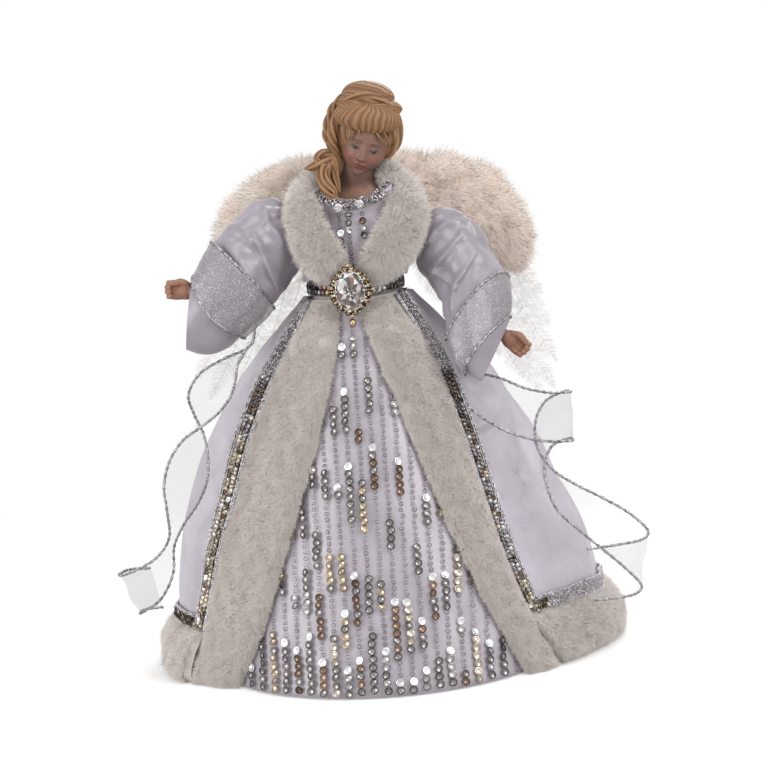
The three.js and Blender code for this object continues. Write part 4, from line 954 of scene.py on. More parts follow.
def strip_grid(rows, half_width, half_thickness, count, sides, less):
    """A flat ring grid along rows; less is kept free for the hairs."""
    t = np.linspace(0, 1, count + 1)
    place = lambda at: through([r[:3] for r in rows], np.clip(at, 0, 1))
    centre = place(t)
    along = unit(place(t + 0.02) - place(t - 0.02))
    normal = unit(through([r[4:] for r in rows], t))
    wide = unit(np.cross(along, normal))
    out = unit(np.cross(wide, along))
    share = through([r[3] for r in rows], t)
    end = np.sqrt(np.minimum(1, 6 * np.minimum(t, 1 - t) + 0.15))
    a = around_once(sides)
    w = (half_width * share * end - less)[None, :, None]
    h = (half_thickness * np.sqrt(share) * end - less)[None, :, None]
    return centre[None] + wide[None] * np.cos(a)[:, None, None] * w + out[None] * np.sin(a)[:, None, None] * h


def outward_sign(p, ring=True):
    n = grid_normals(p, ring)
    return 1 if ((p - p.mean(0, keepdims=True)) * n).sum() > 0 else -1


for index, side in enumerate(COLLAR):
    outer = strip_grid(COLLAR[side], LAPEL_HALF_WIDTH, LAPEL_HALF_THICKNESS, 90, 36, HAIR_ROOM)
    swell = 0.35 * ripple(outer, 20, 33)
    outer = outer + grid_normals(outer, True) * outward_sign(outer) * swell[..., None]
    piece = furry("fur_lapel_" + side, outer, None, outward_sign(outer), 6.0, 12, 60 + index, -0.5, 0.5)
    settle(piece, "gown", "fur", "fur_collar_" + side)


# Bust: the face, neck and shoulder plate, with the hair moulded on it

HEAD = np.array([6.5, -11, 362.0])
CAD_TURN = rotation(0, 12, 14)
FACE_TURN = rotation(5.6, 22, 17.2)
FACE = HEAD + np.array([3.8, 0, -1.5])


def bell(x, z, at_x, at_z, wide, high):
    return np.exp(-(((x - at_x) / wide) ** 2 + ((z - at_z) / high) ** 2))


HEAD_HALF_WIDTH, HEAD_HALF_DEPTH, CHIN_DROP, CROWN_RISE = 17.3, 19.4, 26.4, 23.3
EYE_X = 6.7
FACE_SWELLS = [  # height, place (x, z) and half size of each swelling; those off the middle are mirrored
    (4.3, 0, -5.6, 2.1, 2.3), (2.6, 0, -2.2, 1.5, 3.6), (1.0, 2.3, -6.6, 1.2, 1.2),  # nose
    (-1.9, 6.6, 1.4, 3.8, 2.6), (1.9, EYE_X, 0.6, 2.7, 1.9),  # eye sockets and eyeballs
    (0.7, 6.9, 5.0, 4.2, 1.3), (1.3, 8.8, -6.2, 4.0, 4.2),  # brows and cheeks
    (1.1, 0, -11.4, 4.2, 2.4), (0.8, 1.5, -11.1, 1.7, 0.8),  # mouth and upper lip
    (1.1, 0, -12.9, 2.6, 0.9), (-0.7, 0, -12.05, 3.2, 0.35),  # lower lip and the line between the lips
    (-1.0, 0, -15.6, 3.4, 1.3), (1.9, 0, -20.0, 4.2, 3.2),  # hollow above the chin, chin
    (-0.35, 0, -9.3, 0.8, 1.2), (-0.8, 13.5, -2.5, 3, 6),  # groove under the nose, temples
]


def face_grid():
    """The head as a grid round its upright axis, finer in front, in the head's own frame."""
    around = np.linspace(-1, 1, 261)[:-1]
    turn = math.pi * np.sign(around) * (0.42 * np.abs(around) + 0.58 * np.abs(around) ** 2.2)
    rise = np.linspace(-1, 1, 200)
    height = math.pi / 2 * (0.62 * rise + 0.38 * rise**3)
    a, b = np.meshgrid(turn, height, indexing="ij")
    d = np.stack([np.sin(a) * np.cos(b), -np.cos(a) * np.cos(b), np.sin(b)], -1)
    low = (d[..., 2] < 0) * smoothstep(-d[..., 1], -0.2, 0.25) * np.abs(d[..., 2])
    level = np.maximum(np.cos(b), 1e-3)
    full = np.where(low > 0, np.sqrt(np.maximum(0, 1 - np.abs(d[..., 2]) ** 3.4)) / level, 1)
    full = 1 + (full - 1) * smoothstep(-d[..., 1] / level, -0.3, 0.4)
    x, y = d[..., 0] * HEAD_HALF_WIDTH * full, d[..., 1] * HEAD_HALF_DEPTH * full
    z = d[..., 2] * np.where(d[..., 2] < 0, CHIN_DROP, CROWN_RISE)
    jaw = smoothstep(-z, 3, 24)
    x = x * (1 - 0.44 * jaw)
    y = np.where(y < 0, y * (1 - 0.06 * jaw), y)
    front = smoothstep(-d[..., 1], 0.1, 0.6)
    push = 0
    for height, at_x, at_z, wide, high in FACE_SWELLS:
        for s in (-1, 1) if at_x else (1,):
            push = push + height * bell(x, z, at_x * s, at_z, wide, high)
    for s in (-1, 1):
        lid = smoothstep(z, 0.15, 0.45) * bell(x, z, EYE_X * s, 1.0, 2.9, 1.5)
        push = push + 0.45 * lid
    p = np.stack([x, y - push * front, z], -1)
    return p, front


SKIN_TONE = linear((139, 103, 90))


def over(base, colour, share):
    return base * (1 - share[..., None]) + linear(colour) * share[..., None]


def face_paint(p, front):
    x, z = p[..., 0], p[..., 2]
    paint = np.broadcast_to(SKIN_TONE, p.shape).copy()
    for s in (-1, 1):
        paint = over(paint, (166, 104, 95), 0.42 * front * bell(x, z, 8.8 * s, -6.2, 4.4, 3.6))
        # painted shade in the eye socket and beside the nose at the eye's inner corner
        paint = over(paint, (118, 86, 76), 0.5 * front * bell(x, z, EYE_X * s, 2.5, 4.0, 1.5))
        paint = over(paint, (116, 82, 72), 0.4 * front * bell(x, z, 2.9 * s, 0.6, 1.1, 3.2))
        dx = (x - 6.8 * s) / 3.1
        open_eye = smoothstep(1 - dx**2, 0, 0.2) * front
        low, high = 0.1 - 1.35 * np.sqrt(np.maximum(0, 1 - dx**2)), 0.1 + 0.75 * (1 - dx**2)
        slit = open_eye * smoothstep(z, low - 0.15, low + 0.15) * smoothstep(high - z, -0.15, 0.15)
        paint = over(paint, (122, 112, 104), slit)
        away = np.hypot(x - EYE_X * s, z + 0.1)
        paint = over(paint, (66, 66, 58), slit * smoothstep(1.9 - away, -0.2, 0.2))
        paint = over(paint, (24, 22, 22), slit * smoothstep(0.9 - away, -0.15, 0.15))
        glint = np.hypot(x - EYE_X * s + 0.55, z - 0.35)
        paint = over(paint, (190, 186, 180), 0.8 * slit * smoothstep(0.3 - glint, -0.1, 0.1))
        lash = smoothstep(1.12 - dx**2, 0, 0.25) * front * np.exp(-((z - high - 0.15) / 0.36) ** 2)
        paint = over(paint, (50, 36, 34), 0.95 * lash)
        fold = smoothstep(1.0 - dx**2, 0, 0.4) * front * np.exp(-((z - high - 1.5) / 0.3) ** 2)
        paint = over(paint, (98, 68, 60), 0.6 * fold)
        lower = open_eye * np.exp(-((z - low + 0.1) / 0.22) ** 2)
        paint = over(paint, (86, 62, 54), 0.6 * lower)
        bow = 5.2 - 0.06 * (x * s - 6.0) ** 2
        reach = smoothstep(11.4 - x * s, 0, 1.8)
        brow = np.exp(-((z - bow) / 0.48) ** 2) * smoothstep(x * s, 2.0, 3.4) * reach
        paint = over(paint, (84, 58, 48), 0.85 * brow * front)
    upper = (-11.5 + 1.3 * np.exp(-((np.abs(x) - 1.2) / 1.2) ** 2) - 0.25 * np.exp(-(x / 0.5) ** 2))
    lower = -12.0 - 2.2 * np.sqrt(np.maximum(0, 1 - (x / 3.6) ** 2))
    wide = smoothstep(4.1 - np.abs(x), 0, 0.8)
    above, below = smoothstep(z, lower - 0.25, lower + 0.25), smoothstep(upper + 0.25 - z, -0.25, 0.25)
    lips = wide * above * below * front
    paint = over(paint, (146, 70, 66), 0.85 * lips)
    paint = over(paint, (112, 48, 46), 0.6 * lips * smoothstep(z, -12.2, -11.2))
    paint = over(paint, (78, 38, 36), 0.8 * wide * np.exp(-((z + 12.0 + 0.03 * x**2) / 0.24) ** 2) * front)
    # painted shadow under the nose
    paint = over(paint, (104, 68, 60), 0.55 * bell(x, z, 0, -8.6, 2.8, 0.7) * front)
    for s in (-1, 1):
        paint = over(paint, (84, 50, 44), 0.7 * bell(x, z, 1.4 * s, -7.8, 0.7, 0.45) * front)
    return paint


head_points, head_front = face_grid()
head_paint = face_paint(head_points, head_front)
head_world = head_points @ FACE_TURN.T + FACE
head_part = (head_world.reshape(-1, 3), [grid_faces(head_world.shape, True)])

PLATE_UNIT, PLATE_FOOT = 11, 312.3
# from the foot up to the neck: middle (x, y), height, half width and half depth, as shares of the unit
PLATE_SHARES = [(0.3, -0.1, 0, 2.85, 1.72), (0.33, -0.15, 0.45, 2.6, 1.65), (0.32, -0.35, 0.95, 1.95, 1.45),
                (0.26, -0.6, 1.4, 1.3, 1.2), (0.22, -0.75, 1.85, 1.05, 1.02), (0.34, -0.85, 3.2, 0.94, 0.98)]


def plate_grid():
    """The plate's profile, with its corners rounded by a running mean, and the hollow of the throat."""
    columns = np.array(PLATE_SHARES).T
    z = np.linspace(0, columns[2, -1], 60)
    rows = np.stack([np.interp(z, columns[2], column) for column in columns], -1)
    kernel = np.hanning(9) / np.hanning(9).sum()
    padded = np.pad(rows, ((4, 4), (0, 0)), mode="edge")
    rows = np.stack([np.convolve(padded[:, k], kernel, "valid") for k in range(5)], -1)
    a = np.linspace(0, 2 * math.pi, 97)[:-1, None]
    x = rows[None, :, 0] * PLATE_UNIT + rows[None, :, 3] * PLATE_UNIT * np.cos(a)
    y = rows[None, :, 1] * PLATE_UNIT + rows[None, :, 4] * PLATE_UNIT * np.sin(a)
    p = np.stack([x, y, np.broadcast_to(PLATE_FOOT + z * PLATE_UNIT, x.shape)], -1)
    hollow = 0.9 * np.exp(-((p[..., 0] - 8) / 3) ** 2 - ((p[..., 2] - 326) / 4) ** 2) * (p[..., 1] < 0)
    return p + np.stack([0 * hollow, hollow, 0 * hollow], -1)


plate = plate_grid()
plate_part = capped(plate)
bust_points, bust_faces = gather([head_part, plate_part])
# the neck is painted dark as the chin's shadow, and the chest below it is painted lit
lit = 1 - smoothstep(plate_part[0][:, 2], 325, 333)[:, None]
plate_paint = linear((112, 82, 72)) * (1 - lit) + linear((178, 137, 120)) * lit
bust_paint = np.concatenate([head_paint.reshape(-1, 3), plate_paint])
settle(make("bust_face", bust_points, bust_faces, PORCELAIN, colours=bust_paint), "gown", "porcelain_skin",
       "porcelain_bust")


def hair_colour(depth):
    """Blond paint on the ridges, darker brown in the grooves as painted shade; depth runs from 0, deep, to 1.
    """
    depth = np.clip(depth, 0, 1)[..., None]
    return linear((106, 70, 45)) * (1 - depth) + linear((170, 130, 92)) * depth


def roll_of_hair(centre, half, axis, combs, seed, depth, waves, spread, turn=CAD_TURN, at=HEAD):
    """An ellipsoid combed in grooves that run from pole to pole of the given axis: 'x', 'y' or 'z'."""
    a, b = np.meshgrid(np.linspace(0, 2 * math.pi, spread[1] + 1)[:-1],
                       np.linspace(-math.pi / 2, math.pi / 2, spread[0]), indexing="ij")
    d = np.stack([np.cos(a) * np.cos(b), np.sin(a) * np.cos(b), np.sin(b)], -1)
    swirl = a + waves * np.sin(2.1 * b + seed) + 0.25 * waves * np.sin(5 * b + 2 * seed + 3 * a)
    comb = np.sin(combs * swirl + 1.6 * np.sin(3 * swirl + seed) + 1.1 * np.sin(7 * swirl + 2 * seed))
    fine = np.sin(combs * 2.3 * swirl + seed + 2 * np.sin(4 * swirl))
    groove = 0.5 + 0.32 * comb + 0.18 * fine
    order = {"z": [0, 1, 2], "x": [2, 0, 1], "y": [1, 2, 0]}[axis]
    d = d[..., order]
    cut = (groove[..., None] - 1) * depth / np.mean(half) * np.cos(b)[..., None] ** 0.3
    p = (d * np.array(half) * (1 + cut) + centre) @ turn.T + at
    return p, groove


def lock_of_hair(path, radii, combs, twist, seed, count):
    """A rope-like lock along points in millimetres."""
    turn = twist * np.linspace(0, 1, count) * 2 * math.pi + seed
    sides = 30
    p = tube(spline(path, count), along_radii(radii, count), sides, turn=turn / combs, lobes=combs,
             lobe_depth=0.16, flat=0.8)
    a = around_once(sides)
    groove = 0.5 + 0.5 * np.cos(combs * (a[:, None] - (turn / combs)[None]))
    return p, groove


hair_parts, hair_depths = [], []


def add_hair(p, groove):
    hair_parts.append(capped(p))
    ends = np.stack([groove[:, 0].mean(), groove[:, -1].mean()])
    hair_depths.append(np.concatenate([groove.ravel(), ends]))


add_hair(*roll_of_hair([1.6, 5.6, 7.05], [26.0, 21.6, 25.0], "z", 30, 1, 0.9, 0.2, (84, 216)))
add_hair(*roll_of_hair([4.2, -9.6, 18.2], [23.4, 12.6, 11.2], "z", 30, 2, 0.6, 0.1, (84, 260)))
add_hair(*roll_of_hair([4.4, -3.5, 25.0], [22.5, 11.5, 7.6], "x", 11, 5, 0.6, 0.3, (64, 150)))
add_hair(*roll_of_hair([2.4, 2.0, 29.8], [18.2, 15.0, 10.3], "x", 13, 3, 0.7, 0.2, (64, 150)))
add_hair(*roll_of_hair([-13.5, -15.5, 346.5], [7.5, 4.5, 9.5], "z", 9, 6, 0.5, 0.2, (40, 90), np.eye(3), 0))


LOCKS = [  # points from the root, radii there, strands and turns of each lock
    # raised band over the pompadour
    ([(-6.5, -20, 386.5), (1, -26, 390.3), (13.3, -29.5, 391.4), (23.5, -28.5, 388), (31.5, -24.5, 381),
      (35, -18, 373)], [1.0, 1.9, 2.2, 2.2, 2.0, 0.9], 3, 2.5),
    # rope curls down the left side, outer and inner
    ([(1, -8, 395.5), (-4.5, -12, 390), (-9.5, -15, 384), (-12.5, -16, 377), (-14.4, -17, 370),
      (-13.8, -17, 363), (-11.5, -17, 357.5), (-9, -16, 353)],
     [1.2, 2.4, 3.2, 3.6, 3.9, 3.9, 3.2, 1.6], 4, 5.5),
    ([(-1, -22, 385), (-6.5, -24, 379.5), (-10, -24, 373), (-11.5, -23.5, 366), (-11.3, -22, 360),
      (-9.2, -19, 354)], [1.2, 2.6, 3.1, 3.1, 2.6, 1.3], 4, 3.5),
    # roll on the right, and the lock inside it
    ([(32.4, -12, 379), (33.0, -14, 371), (32.2, -15.5, 363), (29.8, -16, 356), (25.5, -15, 351),
      (19.5, -13, 348.5)], [2.4, 3.5, 3.9, 4.1, 3.5, 1.4], 4, 1.6),
    ([(27.5, -21, 373), (29.5, -22, 367), (28.8, -21, 361), (26.2, -19, 355.5)],
     [1.2, 2.5, 2.6, 1.1], 3, 1.2),
    ([(-10, 4, 352), (0, 9, 346), (12, 9, 345), (24, 3, 350)], [4.5, 6, 6, 4.5], 4, 1.0),
    # bow-like tail: upper loop, pointed strand, fall, lock over it and the dark strand along the neck
    ([(-6, -13, 352.5), (-12, -16.5, 354.5), (-19, -18.5, 354.6), (-23.4, -19.5, 352), (-22.5, -20.5, 348.5),
      (-17, -21.5, 346)], [1.8, 2.7, 2.6, 2.2, 2.4, 1.6], 4, 2.0),
    ([(-8, -14, 349.5), (-15, -18, 348.5), (-22, -20.5, 346.8), (-28, -21, 345.6), (-32.8, -20, 345.2)],
     [2.2, 3.5, 3.6, 2.4, 0.5], 4, 1.2),
    ([(-11, -13, 350), (-17, -18, 346), (-20, -22, 339), (-19.5, -26, 333), (-16.5, -29, 328),
      (-12.5, -31, 324.5), (-9.3, -32, 323)], [2.4, 4.2, 4.6, 4.2, 3.6, 2.4, 0.7], 5, 2.0),
    ([(-15, -19, 345.5), (-17.5, -25, 339), (-15.5, -29, 333), (-12.5, -31.5, 328), (-13.5, -33, 324)],
     [1.6, 2.8, 3.0, 2.4, 0.6], 4, 1.6),
    ([(-6.5, -13, 357), (-10, -15, 349), (-11.8, -18, 340), (-11, -23, 332), (-9.5, -26, 327)],
     [1.8, 2.6, 2.7, 2.2, 0.7], 4, 1.4),
]
for index, (rows, radii, combs, twist) in enumerate(LOCKS):
    add_hair(*lock_of_hair(rows, radii, combs, twist, index, 90))

for index, rows in enumerate((
        [(-0.8, -28.6, 374), (2.0, -30.8, 369), (0.6, -30.8, 364.5), (-1.6, -28.2, 361)],
        [(5, -30.6, 373), (8.0, -31.6, 368.5), (6.6, -31.4, 364.8)],
        [(18.5, -31, 367), (21.4, -30.4, 362), (24.3, -28, 358)],
        [(24.0, -29, 365), (26.0, -27, 360), (24.8, -25, 355)])):
    add_hair(*lock_of_hair(rows, [0.5, 1.0, 0.8, 0.2], 3, 1.0, index, 40))

hair_points, hair_faces = gather(hair_parts)
hair_paint = hair_colour(np.concatenate(hair_depths))
settle(make("bust_hair", hair_points, hair_faces, HAIR, colours=hair_paint), "gown", "porcelain_skin")


# Arms

# rows run down the sleeve: its top (x, y, z), its underside (x, y, z) and its half depth, all as shares of
# 100 mm from the shoulder's pivot; top and low place the cuff's two edges, and bow is their sag between them
ARMS = {
    "left": dict(
        sign=-1, pivot=np.array([-46, 0, 318.0]),
        rows=[(0.08, 0, 0.1, -0.05, -0.02, -0.4, 0.2), (0.27, -0.05, 0.05, 0.11, -0.08, -0.6, 0.24),
              (0.46, -0.11, -0.08, 0.28, -0.15, -0.77, 0.25), (0.59, -0.18, -0.24, 0.49, -0.22, -0.91, 0.2),
              (0.66, -0.23, -0.35, 0.66, -0.25, -0.95, 0.15),
              (0.7, -0.25, -0.412, 0.79, -0.25, -0.91, 0.105)],
        forearm=[(0.38, -0.135, -0.39), (0.66, -0.25, -0.505)], hand=(0.755, -0.255, -0.489),
        top=(0.54, 0.985), low=(0.28, 0.5), bow=(-0.06, -0.03)),
    "right": dict(
        sign=1, pivot=np.array([47, 0, 306.0]),
        rows=[(0.07, 0, 0.08, -0.115, -0.02, -0.36, 0.185), (0.28, -0.05, -0.01, 0.02, -0.14, -0.53, 0.23),
              (0.43, -0.11, -0.22, 0.06, -0.3, -0.68, 0.22), (0.52, -0.16, -0.43, 0.09, -0.43, -0.84, 0.19),
              (0.54, -0.21, -0.61, 0.16, -0.5, -1.02, 0.16), (0.52, -0.26, -0.75, 0.29, -0.5, -1.13, 0.1)],
        forearm=[(0.28, -0.175, -0.42), (0.425, -0.3, -0.8)], hand=(0.52, -0.33, -0.88),
        top=(0.63, 0.975), low=(0.6, 0.88), bow=(-0.12, -0.12)),
}


def arm_point(arm, p):
    p = np.asarray(p, float)
    return p * [arm["sign"], 1, 1] * 100 + arm["pivot"]


def sleeve_point(arm, s, turn, lift):
    rows = through(arm["rows"], s)
    top, low = arm_point(arm, rows[..., 0:3]), arm_point(arm, rows[..., 3:6])
    middle, half = (top + low) / 2, (top - low) / 2
    length = np.linalg.norm(half, axis=-1, keepdims=True)
    lift = np.asarray(lift, float)[..., None] * np.ones_like(length)
    half = half * (length + lift) / length
    depth = rows[..., 6:7] * 100 + lift
    a = np.radians(turn)[..., None]
    return middle + half * np.cos(a) + np.array([0, -1.0, 0]) * depth * np.sin(a)


CAP_SHARE, CAP_DRAW, CAP_SHIFT, HIGHEST_FOLD = 0.09, 9, 2.5, 2.8
CUFF_START, CUFF_END, CUFF_LIFT, CUFF_CORD_RADIUS = -12, 172, 1.1, 1.0


def sleeve_folds(p, u, v):
    long_folds = np.abs(np.sin(math.pi * (4 * u + 0.5 * v) + 1.1 * ripple(p, 60, 12))) ** 1.3
    valleys = 2.6 * (1 - long_folds) * smoothstep(v, 0.0, 0.5)
    return -0.4 - valleys - 1.5 * ridged(p, 44, 18) + 0.3 * ripple(p, 20, 13)


def bell_sleeve(side, sign, arm):
    """A wide sleeve with a round cap at the shoulder."""
    def surface(u, v):
        base = sleeve_point(arm, v, 360 * u, 0)
        in_front = smoothstep(np.sin(2 * math.pi * u), 0.05, 0.3)
        lift = sleeve_folds(base, u, v)
        for rows, high, wide in SLEEVE_RIDGES[side]:
            lift = lift + ridge(base[..., 0], base[..., 2], rows, high, wide) * in_front
        under_cuff = smoothstep(v, 0.45, 0.6)
        lift = np.minimum(lift * (1 - 0.75 * under_cuff), HIGHEST_FOLD)
        k = np.clip(v / CAP_SHARE, 0, 1)
        cap = 1 - np.sqrt(k * (2 - k))
        inward = np.array([CAP_SHIFT * sign, 0, 0]) * cap[..., None]
        return sleeve_point(arm, v, 360 * u, lift - CAP_DRAW * cap) - inward
    outer = grid(surface, 230, 110, True)
    out = outward_sign(outer)
    points, faces = shell(outer, outer - grid_normals(outer, True) * out * SATIN_THICKNESS, True)
    piece = make("bell_sleeve_" + side, points, turned_out(faces, out), SLEEVE_SATIN_SHADED)
    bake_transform(piece)
    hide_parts("sleeve_" + side)


def twisted_cords(name, edges, radius, twist, body):
    """The two-ply cords sewn along a ribbon's edges."""
    cords = [capped(tube(edge, radius, 8, turn=np.linspace(0, twist, len(edge)), lobes=2, lobe_depth=0.25))
             for edge in edges]
    settle(make(name, *gather(cords), CORD), body, "silver_trim")


def organza_cuff(side, arm):
    """Wired ribbon laid slantwise over the front of a sleeve, with a cord along each edge."""
    def surface(u, v):
        turn = lerp(CUFF_START, CUFF_END, u)
        edges = []
        for top, low, bow in zip(arm["top"], arm["low"], arm["bow"]):
            level = lerp(top, low, 0.5 - 0.5 * np.cos(np.radians(turn)))
            edges.append(level + bow * np.sin(np.radians(turn)))
        s = lerp(*edges, v)
        base = sleeve_point(arm, s, turn, 1.0 + 0 * s)
        pleats = 0.35 * np.sin(9 * math.pi * u + ripple(base, 30, 14)) + 0.1 * ripple(base, 9, 15)
        return sleeve_point(arm, s, turn, CUFF_LIFT + pleats)
    outer = grid(surface, 120, 40)
    points, faces = shell(outer, outer - grid_normals(outer) * CUFF_THICKNESS)
    piece = make("organza_cuff_" + side, points, faces, CUFF_ORGANZA)
    settle(piece, side + "_arm", "organza", "ribbon_cuff_" + side)
    twisted_cords("cuff_cord_" + side, (outer[:, 0], outer[:, -1]), CUFF_CORD_RADIUS, 60, side + "_arm")


for side, sign in SIDES:
    bell_sleeve(side, sign, ARMS[side])
    organza_cuff(side, ARMS[side])


# Hands

def fused(name, parts, size, material_of, tone):
    """Joins overlapping closed parts into one smooth skin, and paints it."""
    rough = make(name + "_rough", *gather(parts), material_of)
    join = rough.modifiers.new("join", "REMESH")
    join.mode, join.voxel_size = "VOXEL", size * MM
    ease = rough.modifiers.new("ease", "SMOOTH")
    ease.iterations, ease.factor = 3, 0.5
    joined = bpy.data.meshes.new_from_object(rough.evaluated_get(bpy.context.evaluated_depsgraph_get()))
    points = np.empty(len(joined.vertices) * 3, np.float32)
    joined.vertices.foreach_get("co", points)
    points = points.reshape(-1, 3) / MM
    faces = {}
    for face in joined.polygons:
        faces.setdefault(len(face.vertices), []).append(tuple(face.vertices))
    bpy.data.objects.remove(rough)
    bpy.data.meshes.remove(joined)
    shade = 1 + 0.05 * ripple(points, 9, 61)[:, None]
    return make(name, points, [np.array(f) for f in faces.values()], material_of, colours=tone * shade)


def ellipsoid(centre, axes, half):
    a, b = np.meshgrid(around_once(32), np.linspace(-1.5, 1.5, 16), indexing="ij")
    d = np.stack([np.cos(a) * np.cos(b), np.sin(a) * np.cos(b), np.sin(b)], -1)
    return centre + (d * half) @ np.array(axes)


FINGERS = ((-1.5, 0.86), (-0.5, 0.97), (0.5, 1.0), (1.5, 0.93))  # place across the palm in widths, and reach
FINGER_WIDTH, SKIN_VOXEL = 3.15, 0.42
PALM_HALF = [7.0, 4.4, 6.4]


def limb(rows, radii, sides=16):
    return capped(tube(spline(rows, 26), along_radii(radii, 26), sides))


def porcelain_hand(side, arm):
    """A forearm and a loosely closed hand, fused into one casting."""
    elbow, wrist = (arm_point(arm, q) for q in arm["forearm"])
    palm = arm_point(arm, arm["hand"])
    ahead = unit((palm - wrist) * [1, 0, 1])
    across = np.array([-ahead[2], 0, ahead[0]]) * (1 if ahead[0] > 0 else -1)
    toward = np.array([0, -1.0, 0])

    def at(f, c, t):
        return palm + ahead * f + across * c + toward * t
    parts = [limb([elbow, lerp(elbow, wrist, 0.5), wrist, at(-3, 0, 0)], [5.4, 5.0, 4.3, 4.6], 24),
             capped(ellipsoid(palm, [ahead, toward, across], PALM_HALF))]
    for spread, reach in FINGERS:
        c = spread * FINGER_WIDTH
        joints = [at(1, 0.9 * c, 0.4), at(6.4, c, 1.5), at(11.0 * reach, c, 1.6), at(12.4 * reach, c, 4.0),
                  at(9.6 * reach, 0.95 * c, 5.6)]
        parts.append(limb(joints, [2.0, 2.15, 1.95, 1.8, 1.3]))
    thumb = [at(-2.5, 3.4, 1.6), at(2.2, 6.0, 3.6), at(6.4, 5.4, 5.2), at(9.2, 3.9, 5.8)]
    parts.append(limb(thumb, [2.3, 2.5, 2.1, 1.4]))
    piece = fused("porcelain_hand_" + side, parts, SKIN_VOXEL, PORCELAIN, linear((154, 116, 97)))
    settle(piece, side + "_arm", "porcelain_skin", "hand_" + side)


for side, arm in ARMS.items():
    porcelain_hand(side, arm)


RIBBON = {  # the upper and the lower edge of each tail, as (x, y, z, x, y, z)
    "left": [(-75, -26.5, 242.5, -80, -60, 229), (-80, -27, 228, -86, -63, 219),
             (-100, -30, 220, -88, -64, 210), (-116, -36, 212, -93, -63, 198),
             (-125, -37, 198, -102, -65, 188), (-123, -33, 184, -114, -68, 180),
             (-118, -31, 169, -127, -67, 172), (-116, -36, 152, -138, -66, 158),
             (-118, -40, 137, -143, -69, 141), (-126, -39, 122, -142, -72, 123),
             (-138, -34, 107, -143, -70, 106), (-146, -34, 92, -153, -69, 93),
             (-147, -42, 76, -169, -69, 85), (-156, -54, 60, -178, -72, 83), (-170, -56, 52, -180, -66, 83),
             (-170, -42, 51, -175, -54, 83), (-158, -34, 50, -162, -46, 81)],
    "right": [(60, -42, 211.5, 63.5, -66, 190), (74, -36, 198.5, 67, -66, 180),
              (90, -40, 193, 76, -67, 171), (106, -47, 186, 93, -68, 160), (123, -50, 182, 114, -70, 153),
              (136, -46, 181, 134, -66, 151), (132, -36, 180, 133, -56, 151),
              (119, -33, 174, 121, -57, 147), (111, -36, 161, 115, -63, 136),
              (111, -40, 143, 115, -69, 121), (120, -43, 128, 121, -72, 105), (135, -46, 117, 133, -72, 92),
              (152, -48, 107, 147, -71, 78), (171, -50, 94, 163, -69, 62), (181, -56, 83, 173, -74, 50),
              (176, -66, 80, 168, -83, 47), (158, -77, 80, 152, -91, 47), (138, -84, 80, 137, -96, 48)],
}


def catmull(rows, count):
    """Points of a centripetal curve through rows, as three.js makes it, spaced by its own parameter."""
    rows = np.asarray(rows, float)
    ghost = np.concatenate([[2 * rows[0] - rows[1]], rows, [2 * rows[-1] - rows[-2]]])
    last = len(rows) - 1
    at = np.linspace(0, last, count)
    i = np.minimum(at.astype(int), last - 1)
    k = (at - i)[:, None]
    p0, p1, p2, p3 = (ghost[i + d] for d in range(4))
    gaps = [np.maximum(np.sqrt(np.linalg.norm(b - a, axis=1, keepdims=True)), 1e-4)
            for a, b in ((p0, p1), (p1, p2), (p2, p3))]
    d0, d1, d2 = gaps
    m1 = ((p1 - p0) / d0 - (p2 - p0) / (d0 + d1) + (p2 - p1) / d1) * d1
    m2 = ((p2 - p1) / d1 - (p3 - p1) / (d1 + d2) + (p3 - p2) / d2) * d1
    return ((2 * k**3 - 3 * k**2 + 1) * p1 + (k**3 - 2 * k**2 + k) * m1
            + (3 * k**2 - 2 * k**3) * p2 + (k**3 - k**2) * m2)


def organza_tail(side):
    """The loose end of a ribbon: a sheer band between two twisted cords."""
    rows = np.array(RIBBON[side], float)
    upper, lower = catmull(rows[:, :3], 420), catmull(rows[:, 3:], 420)
    u = np.linspace(0, 1, 17)[:, None, None]
    p = upper[None] * (1 - u) + lower[None] * u
    n = grid_normals(p)
    sway = 0.9 * ripple(p, 26, 16) * np.sin(math.pi * u[..., 0])
    p = p + n * sway[..., None]
    points, faces = shell(p + n * (TAIL_THICKNESS / 2), p - n * (TAIL_THICKNESS / 2))
    piece = make("organza_tail_" + side, points, faces, TAIL_ORGANZA)
    settle(piece, side + "_tail", "organza", "ribbon_tail_" + side)
    twisted_cords("tail_cord_" + side, (p[0], p[-1]), TAIL_CORD_RADIUS, 200, side + "_tail")


TAIL_CORD_RADIUS = 0.9
for side in RIBBON:
    organza_tail(side)


# Wings

WING_SHARES = {  # from the root to the tip: x, lower edge, upper edge and thickness, as shares
    "left": [(-0.07, 0.083, 0.323, 0.35), (-0.2, -0.017, 0.483, 0.7), (-0.38, -0.117, 0.513, 0.95),
             (-0.56, -0.217, 0.463, 1), (-0.72, -0.297, 0.363, 1), (-0.83, -0.337, 0.203, 0.85),
             (-0.91, -0.297, 0.023, 0.55), (-0.95, -0.217, -0.077, 0.2)],
    "right": [(0.07, 0.083, 0.323, 0.35), (0.2, -0.017, 0.483, 0.7), (0.4, -0.097, 0.483, 0.95),
              (0.58, -0.197, 0.453, 1), (0.75, -0.257, 0.383, 1), (0.86, -0.287, 0.273, 0.85),
              (0.94, -0.237, 0.103, 0.55), (0.98, -0.137, 0.003, 0.2)],
}
WING_REACH, BOARD_Z, WING_FRONT, WING_HALF, WING_REARMOST = 120.0, 290.0, 34.0, 13.0, 70
DOWN_ROOM, DOWN_LENGTH, DOWN_DENSITY = 4.5, 9.5, 2.0


